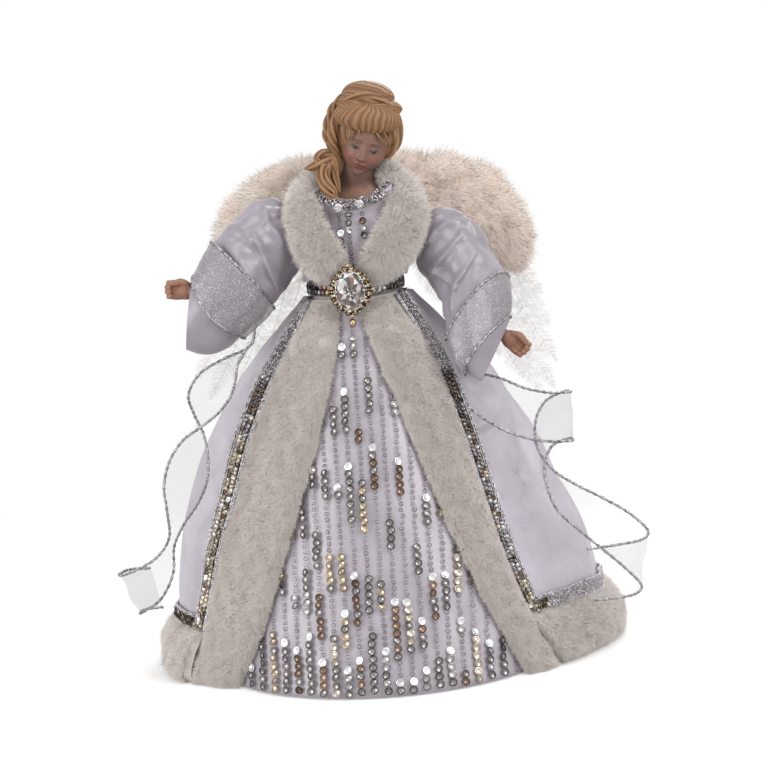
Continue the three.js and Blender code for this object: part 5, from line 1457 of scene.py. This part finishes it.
def wing_grid(side):
    """A wing's body inside its down, as a ring grid from the root to the tip."""
    x, lo, hi, d = through(WING_SHARES[side], np.linspace(0, 1, 70)).T
    centre = np.stack([x * WING_REACH, WING_FRONT + WING_HALF * d, BOARD_Z + (lo + hi) / 2 * WING_REACH], -1)
    a = np.linspace(0, 2 * math.pi, 61)[:-1, None, None]
    tall = np.maximum((hi - lo) / 2 * WING_REACH - DOWN_ROOM, 1)[None, :, None]
    thick = np.maximum(d * WING_HALF - DOWN_ROOM * 0.4, 0.8)[None, :, None]
    return centre[None] + np.array([0, 0, 1.0]) * np.cos(a) * tall + np.array([0, 1.0, 0]) * np.sin(a) * thick


def marabou_wing(side, seed):
    rows = np.random.default_rng(seed)
    body = wing_grid(side)
    out = outward_sign(body)
    body = body + grid_normals(body, True) * out * (0.8 * ripple(body, 28, 71))[..., None]
    points, faces = capped(body)
    root, normal = roots_on(body, True, DOWN_DENSITY, rows)
    normal = normal * out
    middle = np.array([0, WING_FRONT + WING_HALF, BOARD_Z - 4])
    away, fall = unit((root - middle) * [1, 0.3, 1]), np.array([0, 0, -0.2])
    tuft = 0.16 * clump(root, 14, 72)
    heading = unit(0.7 * normal + 0.9 * away + fall + tuft + 0.24 * rows.normal(size=root.shape))
    lengths = DOWN_LENGTH * rows.uniform(0.35, 1.25, len(root)) * (1 + 0.12 * ripple(root, 16, 73))
    bend = 0.3 * clump(root, 12, 74) + np.array([0, 0, -0.5]) + 0.3 * rows.normal(size=root.shape)
    soft = unit(normal + facing(normal) + 0.25 * heading + 0.06 * rows.normal(size=root.shape))
    widths = 0.4 * rows.uniform(0.6, 1.3, len(root))
    down, down_faces, heights, shading = blades(root - normal, heading, bend, lengths, widths, soft, 3, rows)
    down[:, 1] = np.minimum(down[:, 1], WING_REARMOST)
    hairs = down, down_faces, 0.4 + 0.6 * heights, shading
    normals = body_normals(points, body, True, out)
    # the wing's body under the down takes half of the dark root colour, as painted shade
    piece = haired("marabou_wing_" + side, points, turned_out(faces, out), np.full(len(points), 0.5), normals,
                   hairs, MARABOU)
    settle(piece, "gown", "marabou", "wing_" + side)


for index, side in enumerate(WING_SHARES):
    marabou_wing(side, 70 + index)


def feather(root, tip, width, bow, lift, rows):
    """A long goose feather: a tapered quill with a vane of fine barbs on each side."""
    root, tip = np.array(root, float), np.array(tip, float)
    t = np.linspace(0, 1, 60)[:, None]
    along = tip - root
    across = unit(np.cross(along, [0, 1.0, 0]))
    arch = np.sin(math.pi * t)
    line = root + along * t + across * bow * arch + np.array([0, 1.0, 0]) * lift * arch
    quill = capped(tube(line, 0.7 * (1 - 0.85 * t[:, 0]) + 0.12, 8))
    count = BARBS
    at = np.sort(rows.uniform(0.08, 0.995, count))
    place = through(line, at)
    heading = unit(through(np.gradient(line, axis=0), at))
    parts = [quill]
    shape = np.sqrt(np.clip(smoothstep(at, 0.04, 0.3) * smoothstep(1 - at, -0.02, 0.25), 0, 1))
    split = 1 - 0.35 * (np.sin(31 * at + rows.uniform(0, 6)) > 0.86)
    for s in (-1, 1):
        side = unit(np.cross(heading, [0, 1.0, 0])) * s
        out = unit(side + heading * (0.85 - 0.25 * split[:, None]) + 0.04 * rows.normal(size=side.shape))
        length = width * shape * split * rows.uniform(0.92, 1.05, count)
        half = heading * 0.2 * np.linalg.norm(along) / 100
        end = place + out * length[:, None] + np.array([0, -0.08, 0]) * length[:, None] * s
        mid = place + out * length[:, None] * 0.55 + np.array([0, 0.35, 0])
        point = half * 0.35
        corners = np.stack([place - half, place + half, mid + half, mid - half, end + point, end - point], 1)
        base = np.arange(count)[:, None] * 6
        faces = [base + np.array([corner]) for corner in ([0, 1, 2, 3], [3, 2, 4, 5])]
        parts.append((corners.reshape(-1, 3), faces))
    return gather(parts)


BARBS, FEATHER_BOW, FEATHER_ROOT_Y, FEATHER_TIP_Y = 420, 5, 61.2, 61.6
FEATHERS = {  # root (x, z), tip (x, z) and half width of each
    "left": [((-34, 284), (-54, 236), 7), ((-44, 286), (-74, 218), 8), ((-54, 288), (-92, 192), 9),
             ((-64, 290), (-108, 182), 9), ((-74, 292), (-124, 180), 9.5), ((-82, 294), (-133, 196), 9),
             ((-88, 297), (-132, 214), 8), ((-92, 300), (-126, 236), 7.5)],
    "right": [((34, 284), (54, 238), 7), ((44, 286), (74, 222), 8), ((54, 288), (90, 196), 9),
              ((64, 290), (106, 178), 9), ((74, 292), (118, 166), 9.5), ((82, 294), (128, 168), 9),
              ((88, 297), (131, 188), 8.5), ((92, 300), (128, 214), 8), ((94, 302), (124, 238), 7.5)],
}
for index, (side, sign) in enumerate(SIDES):
    rows = np.random.default_rng(80 + index)
    parts = []
    for k, ((x0, z0), (x1, z1), width) in enumerate(FEATHERS[side]):
        root, tip = (x0, FEATHER_ROOT_Y, z0), (x1, FEATHER_TIP_Y + 0.5 * k % 2, z1)
        parts.append(feather(root, tip, width, -sign * FEATHER_BOW, 2.0 + (k % 3), rows))
    piece = make("goose_feathers_" + side, *gather(parts), FEATHER)
    settle(piece, "gown", "goose_feather", "long_feathers_" + side)


# Sequins, beads and trimmings

def lathe(profile, segments):
    """A closed body of revolution round z from (radius, height) pairs; radius 0 makes a pole."""
    points, rings, faces = [], [], []
    for r, h in profile:
        first = len(points)
        if r == 0:
            points.append((0, 0, h))
        else:
            points += [(r * math.cos(a), r * math.sin(a), h) for a in around_once(segments)]
        rings.append((first, r))
    quads, tris = [], []
    for (a, ra), (b, rb) in zip(rings, rings[1:] + rings[:1]):
        for k in range(segments):
            n = (k + 1) % segments
            if ra and rb:
                quads.append((a + k, a + n, b + n, b + k))
            elif ra:
                tris.append((a + k, a + n, b))
            elif rb:
                tris.append((a, b + n, b + k))
    return np.array(points, float), [np.array(f, int) for f in (quads, tris) if f]


UP, DOWN, FRONT = np.array([0, 0, 1.0]), np.array([0, 0, -1.0]), np.array([0, -1.0, 0])
RING, RING_FACES = lathe([(1, 0), (0.8, 0.2), (0.58, 0.04), (0.8, -0.1)], 10)
CUP, CUP_FACES = lathe([(0, -0.07), (0.64, 0.0), (1.0, 0.24), (0.97, 0.30), (0.64, 0.08), (0.2, 0.02),
                        (0, 0.0)], 12)
BEAD, BEAD_FACES = lathe([(0, -1), (0.72, -0.7), (1, 0), (0.72, 0.7), (0, 1)], 8)
# how much of a cup's painted reflection is its centre colour, from its middle out to its rim
CUP_REFLECTION = np.clip(1.15 - np.hypot(CUP[:, 0], CUP[:, 1]) * 1.25, 0, 1) ** 0.8
CUP_REFLECTION[-1] = 0.1


class Trim:
    """Collects small copies of templates and their paint, and makes them one piece."""

    def __init__(self):
        self.parts, self.paints = [], []

    def add(self, template, faces, origins, frames, scales, colours, glow=None, rims=None):
        """Copies of a template; a glow paints a reflection: its colour in the middle and another at the rim.
        """
        self.parts.append(scatter(template, faces, origins, frames, scales))
        colours = np.broadcast_to(colours, (len(origins), 3))
        if glow is None:
            self.paints.append(np.repeat(colours, len(template), 0))
        else:
            glow = glow[None, :, None]
            self.paints.append((rims[:, None] * (1 - glow) + colours[:, None] * glow).reshape(-1, 3))

    def beads(self, origins, normals, along, scales, colours):
        self.add(BEAD, BEAD_FACES, origins, frames_from(normals, along), scales, colours)

    def body(self, points, faces, colour):
        self.parts.append((points.reshape(-1, 3), faces))
        self.paints.append(np.broadcast_to(linear(colour), (points.size // 3, 3)))

    def cord(self, line, radius, colour, turns):
        twist = np.linspace(0, turns, len(line))
        self.body(*capped(tube(line, radius, 8, turn=twist, lobes=2, lobe_depth=0.28)), colour)

    def make(self, name, slot, *nodes):
        paint = np.concatenate(self.paints)
        settle(make(name, *gather(self.parts), SEQUIN, colours=paint), "gown", slot, *nodes)


FOILS = {  # centre and rim of a cup: a painted reflection on the foil
    "silver": ((214, 211, 214), (112, 107, 110)), "white": ((250, 250, 252), (232, 232, 238)),
    "pewter": ((176, 171, 171), (54, 48, 48)), "copper": ((168, 143, 126), (80, 61, 50)),
    "gold": ((208, 197, 174), (130, 112, 90)), "champagne": ((224, 216, 203), (158, 145, 128)),
    "brown": ((140, 119, 104), (56, 43, 37)),
}


def foils(names):
    return (np.array([linear(FOILS[n][0]) for n in names]), np.array([linear(FOILS[n][1]) for n in names]))


def tilted(normals, amount, rows):
    return unit(normals + amount * rows.normal(size=normals.shape))


def add_cups(trim, origins, normals, along, radius, names, rows, tilt=0.16):
    bright, rims = foils(names)
    vary = rows.uniform(0.82, 1.1, (len(origins), 1))
    trim.add(CUP, CUP_FACES, origins, frames_from(tilted(normals, tilt, rows), along), [radius],
             bright * vary, CUP_REFLECTION, rims * vary)


def add_rings(trim, origins, normals, along, radius, rows, tone=(168, 162, 168), tilt=0.14):
    vary = rows.uniform(0.7, 1.15, (len(origins), 1))
    trim.add(RING, RING_FACES, origins, frames_from(tilted(normals, tilt, rows), along),
             radius * rows.uniform(0.92, 1.05, len(origins)), linear(tone) * vary)


def skirt_normal(angle, z):
    slope = (skirt_radius(angle, z + 1) - skirt_radius(angle, z - 1)) / 2
    a = np.radians(angle)
    return unit(np.stack([np.sin(a), -np.cos(a), -slope], -1))


STRING_GAP, RING_PITCH, CUP_PITCH = 8.45, 4.1, 5.2
string_rows = np.random.default_rng(90)


def skirt_string(x0, low):
    """Walks one string of sequins up the skirt to where the fur covers it."""
    z, left_in_run, cups = low, 0, False
    rings, bowls, kinds = [], [], []
    while z < 250:
        t = z / WAIST
        radius = float(skirt_radius(np.array(0.0), z))
        x = x0 * (1 - 0.05 * t) - WAIST_SHIFT * t
        if abs(x) > radius * 0.98:
            break
        angle = math.degrees(math.asin(x / radius))
        inner = float(through(FUR_INNER["left" if angle < 0 else "right"], t))
        if abs(angle) > abs(inner) + 2.5 and (angle < 0) == (inner < 0) and z > 30:
            break
        if left_in_run <= 0:
            cups = (not cups) and string_rows.random() < lerp(1.0, 0.45, t)
            least, most = (2, 9) if cups else (3, int(lerp(8, 18, t)))
            left_in_run = int(string_rows.integers(least, most))
            kind = string_rows.choice(["pewter", "silver", "copper", "gold", "champagne", "brown"],
                                      p=[0.38, 0.24, 0.08, 0.11, 0.09, 0.1])
            # a run may end in a cup painted white, a painted glint
            white = string_rows.random() < 0.5
        place = (angle, z)
        if cups:
            bowls.append(place)
            kinds.append("white" if white and left_in_run == 1 else
                         kind if string_rows.random() < 0.75 else "pewter")
        else:
            rings.append(place)
        left_in_run -= 1
        pitch = CUP_PITCH if cups else RING_PITCH
        z += pitch * 0.93
    return rings, bowls, kinds


skirt_trim = Trim()
for i in range(-12, 13):
    rings, bowls, kinds = skirt_string(i * STRING_GAP + 0.2, 3.2 + float(string_rows.uniform(0, 2.5)))
    for kind_of, places in (("ring", rings), ("cup", bowls)):
        if not places:
            continue
        angle, z = np.array(places).T
        normal = skirt_normal(angle, z)
        angle = angle + string_rows.normal(size=len(angle)) * 0.16
        lift = 1.5 if kind_of == "ring" else 1.7
        origin = on_gown(angle, skirt_radius(angle, z), z) + normal * lift
        if kind_of == "ring":
            add_rings(skirt_trim, origin, normal, DOWN, 1.62, string_rows)
        else:
            add_cups(skirt_trim, origin, normal, DOWN, 2.75, kinds, string_rows)
skirt_trim.make("skirt_sequins", "sequin_braid")


# Braids along the coat's edges

def braid_colours(v, rows, profile):
    """Picks a foil for each place along a braid; profile gives names and weights from hem to waist."""
    names = []
    for at in np.atleast_1d(v):
        low = max(k for k in profile if k <= at + 1e-9)
        kinds, weights = zip(*profile[low].items())
        names.append(str(rows.choice(kinds, p=np.array(weights) / sum(weights))))
    return names


BRAID_PROFILES = {
    "left": {0.0: dict(gold=5, champagne=4, white=1, copper=2),
             0.12: dict(champagne=5, gold=4, white=1, brown=1),
             0.42: dict(gold=4, champagne=4, silver=1, brown=1), 0.58: dict(champagne=3, silver=2, brown=2),
             0.66: dict(brown=6, copper=2, pewter=2), 0.76: dict(silver=5, white=1, pewter=1)},
    "right": {0.0: dict(gold=4, champagne=3, copper=2, silver=1), 0.14: dict(silver=5, pewter=2, champagne=1),
              0.3: dict(silver=4, gold=2, brown=1), 0.52: dict(pewter=3, brown=3, silver=2),
              0.66: dict(brown=4, copper=2, pewter=2), 0.74: dict(silver=5, pewter=2)},
}
HEM_PROFILE = {0.0: dict(gold=4, champagne=3, silver=2), 0.1: dict(silver=5, pewter=1, champagne=1)}
BRAID_CUP_PITCH, BRAID_CUP_RADIUS, BRAID_TOP = 3.0, 1.95, 1.3


def braid_piece(which, place, length, profile, seed, out, plain_from, speck_gap=0.62):
    """place(u, v, lift) lies on the coat: u across the braid, v along it.

    From plain_from on the braid has glitter alone.
    """
    rows = np.random.default_rng(seed)
    trim = Trim()
    steps = int(length / 2)
    outer = grid(lambda u, v: place(u, v, 0.75), 10, steps)
    inner = grid(lambda u, v: place(u, v, 0.1), 10, steps)
    points, faces = shell(outer, inner)
    trim.body(points, turned_out(faces, out), (172, 168, 172))
    v = np.linspace(0.002, 0.998, int(length / 0.8))
    for u, radius in ((0.05, 0.62), (0.17, 0.5), (0.83, 0.5), (0.95, 0.62)):
        wave = 0.012 * np.sin(v * length / 1.1)
        line = place(np.clip(u + wave, 0.02, 0.98), v, 1.0 + 0 * v)
        trim.cord(line, radius, (178, 174, 178), length / 1.6)
    columns = [(u0, 0.0) for u0 in (0.03, 0.12, 0.5, 0.88, 0.97)]
    for u0, begins in columns + [(u0, plain_from) for u0 in (0.26, 0.38, 0.62, 0.74)]:
        count = int(length * (1 - begins) / speck_gap)
        at, across = rows.uniform(begins, 1, count), np.clip(u0 + rows.normal(size=count) * 0.035, 0, 1)
        origin = place(across, at, 1.35 + 0.3 * rows.random(count))
        bright = linear((222, 219, 222)) * rows.choice([0.3, 0.85, 1.2], (count, 1), p=[0.2, 0.4, 0.4])
        ways = rows.normal(size=(count, 3)), rows.normal(size=(count, 3))
        trim.beads(origin, *ways, rows.uniform(0.28, 0.5, count), bright)
    for column, u0 in enumerate((0.36, 0.64)):
        at = (np.arange(int(length / BRAID_CUP_PITCH)) + 0.25 + 0.5 * column) * BRAID_CUP_PITCH / length
        at = at[at < plain_from]
        u = u0 + 0 * at
        origin = place(u, at, 1.35 + 0.15 * rows.random(len(at)))
        along = place(u, at + 0.004, BRAID_TOP) - place(u, at - 0.004, BRAID_TOP)
        across = place(u0 + 0.02 + 0 * at, at, BRAID_TOP) - place(u0 - 0.02 + 0 * at, at, BRAID_TOP)
        normal = unit(np.cross(across, along)) * out
        tip = unit(normal + 0.28 * unit(along))
        add_cups(trim, origin, tip, along, BRAID_CUP_RADIUS, braid_colours(at, rows, profile), rows, 0.2)
    trim.make("sequin_braid_" + which, "sequin_braid", "braid_" + which)


for index, (side, sign) in enumerate(SIDES):
    def front_place(u, v, lift, s=side, g=sign):
        """On the coat beside its front edge, from the hem braid up to the belt."""
        z = lerp(FUR_HEM + 0.3, COAT_TOP - 0.3, v)
        t = z / WAIST
        start = coat_edge(s, t)
        angle = start + g * degrees_of({"left": 12.2, "right": 14.2}[s], coat_radius(start, z)) * (u - 0.04)
        return on_gown(angle, coat_radius(angle, z) + 0.7 + lift, z)

    def hem_place(u, v, lift, s=side, g=sign):
        """On the coat above the fur hem, from the front braid round to the back."""
        z = lerp(FUR_HEM + 0.3, FUR_HEM + 10.8, u)
        t = z / WAIST
        start = coat_edge(s, t)
        begin = start + g * degrees_of(10.5, coat_radius(start, z))
        angle = lerp(begin, g * (180 - degrees_of(0.3, COAT_BACK)), v)
        return on_gown(angle, coat_radius(angle, z) + 1.2 + lift, z)
    front_plain, hem_plain = {"left": (0.78, 0.2), "right": (0.76, 0.04)}[side]
    braid_piece("front_" + side, front_place, 232, BRAID_PROFILES[side], 100 + index, sign, front_plain)
    braid_piece("hem_" + side, hem_place, 285, HEM_PROFILE, 104 + index, -sign, hem_plain, 0.8)


# Belt and brooch

belt_rows = np.random.default_rng(110)
BELT_WIDE, BELT_DEEP, BELT_HIGH = 33.0, 37.0, 9.0
BELT_FOILS, BELT_SHARES = ["pewter", "brown", "silver"], [0.6, 0.25, 0.15]


def belt_place(angle, rise, lift):
    """angle from the front in radians, rise from the belt's middle."""
    return np.stack([WAIST_SHIFT + (BELT_WIDE + lift) * np.sin(angle), -(BELT_DEEP + lift) * np.cos(angle),
                     WAIST + rise + 0 * angle], -1)


def belt_layer(lift):
    def surface(u, v):
        return belt_place(2 * math.pi * u, BELT_HIGH * (v - 0.5), lift(v))
    return grid(surface, 160, 8, True)


belt_trim = Trim()
outer = belt_layer(lambda v: -0.4 + 0.2 * np.sin(math.pi * v))
belt_trim.body(*shell(outer, belt_layer(lambda v: -1.4 + 0 * v), True), (84, 78, 80))
a = np.linspace(0, 2 * math.pi, 500)
for rise in (-3.9, 3.9):
    belt_trim.cord(belt_place(a, rise, 0.05), 0.55, (150, 146, 150), 200)
count = 56
for row, rise in enumerate((-1.75, 1.75)):
    a = (np.arange(count) + 0.5 * row) / count * 2 * math.pi
    normal = unit(np.stack([np.sin(a) / BELT_WIDE, -np.cos(a) / BELT_DEEP, 0 * a], -1))
    names = []
    for turned in (a + math.pi) % (2 * math.pi) - math.pi:
        coppery = -0.75 < turned < -0.28
        names.append("copper" if coppery else str(belt_rows.choice(BELT_FOILS, p=BELT_SHARES)))
    add_cups(belt_trim, belt_place(a, rise, 0.25), normal, UP, 2.15, names, belt_rows, 0.14)
count = 420
a = belt_rows.uniform(0, 2 * math.pi, count)
rise = belt_rows.choice([-4.0, 0.0, 4.0], count) + belt_rows.normal(size=count) * 0.3
bright = linear((200, 196, 200)) * belt_rows.choice([0.3, 0.8, 1.2], (count, 1))
ways = belt_rows.normal(size=(count, 3)), belt_rows.normal(size=(count, 3))
belt_trim.beads(belt_place(a, rise, 0.35), *ways, belt_rows.uniform(0.25, 0.42, count), bright)
belt_trim.make("sequin_belt", "sequin_braid", "belt")

BROOCH = np.array([-7.0, -44.0, 261.5])
BROOCH_TINT = np.array([0.8, 0.8, 0.94])
brooch_rows = np.random.default_rng(111)


def brooch_outline(a, inset=0.0):
    point = np.maximum(0, np.abs(np.sin(a)) - 0.9) / 0.1
    return ((16 - inset) * 0.93 * np.cos(a), (18 - inset) * (0.85 + 0.15 * point) * np.sin(a))


def brooch_at(x, z, out):
    return BROOCH + np.stack([x, -out + 0 * x, z], -1)


brooch = Trim()
a = around_once(96)
levels = [brooch_at(*brooch_outline(a, inset), out)
          for inset, out in ((1.2, 0.0), (0.9, 1.4), (3.6, 2.2), (6.2, 1.8), (6.2, 0.4))]
brooch.body(*capped(np.stack(levels, 1)), (84, 66, 46))


def ring_of_beads(count, inset, out, radius, tones):
    a = (np.arange(count) + brooch_rows.uniform(-0.1, 0.1, count)) / count * 2 * math.pi
    x, z = brooch_outline(a, inset)
    colours = np.array([linear(tones[k % len(tones)]) for k in range(count)])
    colours = colours * brooch_rows.uniform(0.75, 1.2, (count, 1)) * BROOCH_TINT
    radial = np.stack([x, 0 * x, z], -1)
    sizes = radius * brooch_rows.uniform(0.85, 1.15, count)
    brooch.beads(brooch_at(x, z, out), FRONT, radial, sizes, colours)


ring_of_beads(52, 0.9, 1.5, 0.85, [(198, 180, 146), (112, 90, 64)])
ring_of_beads(46, 2.4, 2.4, 0.72, [(178, 158, 124), (90, 71, 50), (226, 212, 182)])
ring_of_beads(30, 4.1, 2.7, 1.05, [(208, 192, 160), (230, 219, 192), (110, 89, 64)])
ring_of_beads(44, 5.6, 2.6, 0.6, [(218, 203, 172), (96, 77, 55)])
a = around_once(16) + 0.2
for turn in (-0.5, 0.5):
    radial = unit(np.stack([np.cos(a + turn), 0 * a, np.sin(a + turn)], -1))
    petals = brooch_at(*brooch_outline(a, 2.9), 2.5)
    brooch.beads(petals, FRONT, radial, [[0.5, 2.0, 0.7]], linear((212, 196, 162)))
for s in (-1, 1):
    for x, z, size, tone in ((0.0, 17.2, 1.35, (204, 187, 152)), (15.6, 0.0, 1.25, (198, 181, 146))):
        brooch.beads(brooch_at(np.array([x * s]), np.array([z * s]), 1.8), FRONT, UP, [size], linear(tone))
a = np.linspace(0, 2 * math.pi, 121)[:-1]
bezel_line = brooch_at(9.7 * np.cos(a), 13.2 * np.sin(a), 2.4)
bezel = tube(np.concatenate([bezel_line, bezel_line[:1]]), 0.75, 8)
brooch.body(*capped(bezel), (198, 196, 200))
a = around_once(10)
radial = np.stack([np.cos(a), 0 * a, np.sin(a)], -1)
claws = brooch_at(9.1 * np.cos(a), 12.5 * np.sin(a), 3.1)
brooch.beads(claws, FRONT, radial, [[0.7, 1.2, 0.6]], linear((214, 212, 216)))
post = tube(np.array([[-7, -42.6, 262], [-7, -40, 262], [-7, -37.4, 262.0]]), 3.0, 12)
brooch.body(*capped(post), (104, 84, 60))
brooch.make("brooch_filigree", "antique_gold", "brooch_frame")


def faceted(levels, count, at, half, tones, seed):
    """A cut stone facing -Y: rings of corners, each facet its own flat face and a tone painted as its
    reflection.
    """
    rows = np.random.default_rng(seed)
    points, faces, paints = [], [[], []], []
    rings = []
    for k, (out, wide) in enumerate(levels):
        a = (np.arange(count) + 0.5 * (k % 2)) / count * 2 * math.pi
        x, z = half[0] * wide * np.cos(a), half[1] * wide * np.sin(a)
        rings.append(np.stack([at[0] + x, at[1] - out + 0 * a, at[2] + z], -1))

    def facet(*corners):
        first = sum(len(p) for p in points)
        points.append(np.array(corners))
        faces[len(corners) - 3].append(list(range(first, first + len(corners))))
        tone = linear(tones[int(rows.integers(len(tones)))])
        paints.append(np.broadcast_to(tone * rows.uniform(0.85, 1.15), (len(corners), 3)))
    sides = [(j, (j + 1) % count) for j in range(count)]
    for k, (low, high) in enumerate(zip(rings, rings[1:])):
        for j, n in sides:
            facet(low[j], low[n], high[n] if k % 2 else high[j])
            facet(low[j] if k % 2 else low[n], high[n], high[j])
    for j, n in sides:
        facet(rings[-1][j], rings[-1][n], rings[-1].mean(0))
        facet(rings[0][n], rings[0][j], rings[0].mean(0))
    return np.concatenate(points), [np.array(f) for f in faces if f], np.concatenate(paints)


def cut_stone(name, node_name, levels, count, at, half, tones, seed):
    points, faces, paints = faceted(levels, count, at, half, tones, seed)
    settle(make(name, points, faces, STONE, smooth=False, colours=paints), "gown", "crystal", node_name)


# tones painted on the facets as their reflections, from dark to white
BROOCH_STONE_REFLECTIONS = [(46, 50, 52), (84, 84, 88), (150, 146, 146), (206, 202, 200), (128, 92, 70),
                      (60, 58, 60), (236, 234, 234)]
NECK_STONE_REFLECTIONS = [(120, 118, 120), (214, 212, 214), (248, 248, 250), (168, 164, 164)]
cut_stone("brooch_crystal", "brooch_stone", [(0, 0.98), (1.6, 0.99), (3.4, 0.8), (4.9, 0.5), (5.4, 0.24)], 12,
          BROOCH + [0, -1.8, 0], (9.2, 12.7), BROOCH_STONE_REFLECTIONS, 120)
NECK_STONE_LEVELS = [(0, 1.0), (0.8, 1.0), (1.9, 0.72), (2.5, 0.42)]
for side, x, z in (("left", -10.5, 317.5), ("right", 4.0, 319.0)):
    cut_stone("neck_crystal_" + side, "neck_jewel_" + side, NECK_STONE_LEVELS, 8, np.array([x, -38.4, z]),
              (3.0, 3.0), NECK_STONE_REFLECTIONS, 121)

drop = Trim()
centre = np.array([[-7.0, -45.7, 239.5]])
drop.beads(centre, FRONT, UP, [[2.5, 2.9, 2.5]], linear((190, 168, 134)))
drop.beads(centre + [0, 0, 2.5], FRONT, UP, [[1.5, 0.8, 1.5]], linear((92, 74, 52)))
a = np.linspace(0, 2 * math.pi, 25)
loop = centre + np.stack([1.1 * np.cos(a), 0 * a, 1.1 * np.sin(a) + 3.6], -1)
drop.body(*capped(tube(loop, 0.3, 6)), (198, 181, 146))
drop.make("brooch_pendant", "antique_gold", "brooch_drop")


# Neckline braid and bodice strings

NECK = [(-23.5, -20, 331, -0.4, -0.6, 0.6), (-19, -28.5, 324.5, -0.3, -0.8, 0.5),
        (-11, -32.5, 320, -0.1, -0.9, 0.4), (-2, -34, 318.5, 0, -1, 0.4), (8, -33, 320, 0.1, -0.9, 0.4),
        (18, -29, 324, 0.3, -0.8, 0.5), (27.5, -21.5, 331.5, 0.4, -0.6, 0.6)]
neck_rows = np.random.default_rng(112)
neck = Trim()
t = np.linspace(0.02, 0.98, 90)
line, out_way = through([r[:3] for r in NECK], t), unit(through([r[3:] for r in NECK], t))
along = unit(np.gradient(line, axis=0))
wide = unit(np.cross(along, out_way))
neck.body(*capped(tube(line - out_way * 0.4, 3.4, 14, out=out_way, flat=0.25)), (120, 112, 114))


def on_neck(at, across, lift):
    p, n = through(line, at), unit(through(out_way, at))
    return p + through(wide, at) * across[..., None] + n * lift[..., None], n, through(along, at)


for across, radius, pitch, lift in ((-2.7, 1.25, 2.5, 1.0), (0.0, 1.7, 3.3, 1.5), (2.7, 1.25, 2.5, 1.0)):
    count = int(58 / pitch)
    at = (np.arange(count) + 0.5 + neck_rows.uniform(-0.15, 0.15, count)) / count
    origin, normal, heading = on_neck(at, across + neck_rows.normal(size=count) * 0.25, lift + 0 * at)
    add_rings(neck, origin, normal, heading, radius, neck_rows, (196, 190, 194), 0.35)
count = 190
at, across = neck_rows.random(count), neck_rows.uniform(-3.9, 3.9, count)
origin, normal, heading = on_neck(at, across, 1.0 + neck_rows.random(count) * 0.8)
bright = linear((214, 210, 214)) * neck_rows.choice([0.18, 0.6, 1.1], (count, 1), p=[0.3, 0.35, 0.35])
neck.beads(origin, neck_rows.normal(size=(count, 3)), heading, neck_rows.uniform(0.45, 0.8, count), bright)
neck.make("neckline_beads", "silver_trim", "neckline_braid")


def on_bodice(x, z, lift):
    depth = (25.5 + lift) * np.sqrt(np.maximum(0.05, 1 - (x / 41.25) ** 2))
    return np.stack([x, -depth - 0.08 * np.maximum(0, 312 - z) - 0.45 * np.maximum(0, z - 312), z], -1)


def bodice_surface(u, v):
    half = lerp(9.9, 23.6, np.minimum(v * 1.1, 1))
    x = WAIST_SHIFT * (1 - v) + lerp(-half, half + 3 * v, u)
    z = lerp(271, 318.6 + 0.014 * (x + 2) ** 2, v)
    return on_bodice(x, z, 0.9 + 0.25 * ripple(np.stack([x, 0 * x, z * 0.4], -1), 12, 44))


settle(cloth("satin_bodice", bodice_surface, 60, 50, 0.8, SATIN), "gown", "satin", "bodice_panel")
strings = Trim()
STRING_TOP = 313.5
STRING_FOILS = {"s": "silver", "w": "white", "p": "pewter", "c": "copper"}
# three strings from the neckline down: x at the top, x 35 mm lower, and a letter for each ring (r) or foil
for x_top, x_low, kinds in ((-11.5, -11.0, "rrrwsspr"), (-4.8, -5.4, "spwrrrrrr"), (4.4, 5.0, "rcsp")):
    z = STRING_TOP
    places = []
    for letter in kinds:
        x = lerp(x_top, x_low, (STRING_TOP - z) / 35)
        half = (2.0 if letter == "r" else 2.6) * 0.95
        z -= half
        places.append((letter, x, z))
        z -= half
    for of_rings in (True, False):
        group = [place for place in places if (place[0] == "r") == of_rings]
        x, z_of = np.array([place[1:] for place in group]).T
        origin = on_bodice(x, z_of, 2.6)
        normal = unit(np.stack([x / 60, -1 + 0 * x, 0.05 + 0 * x], -1))
        if of_rings:
            add_rings(strings, origin, normal, DOWN, 1.6, neck_rows)
        else:
            names = [STRING_FOILS[place[0]] for place in group]
            add_cups(strings, origin, normal, DOWN, 2.5, names, neck_rows)
strings.make("bodice_sequins", "sequin_braid")


# A loop over the soft pieces that does nothing

for kind in ("edge", "border", "lapel"):
    for side, sign in SIDES:
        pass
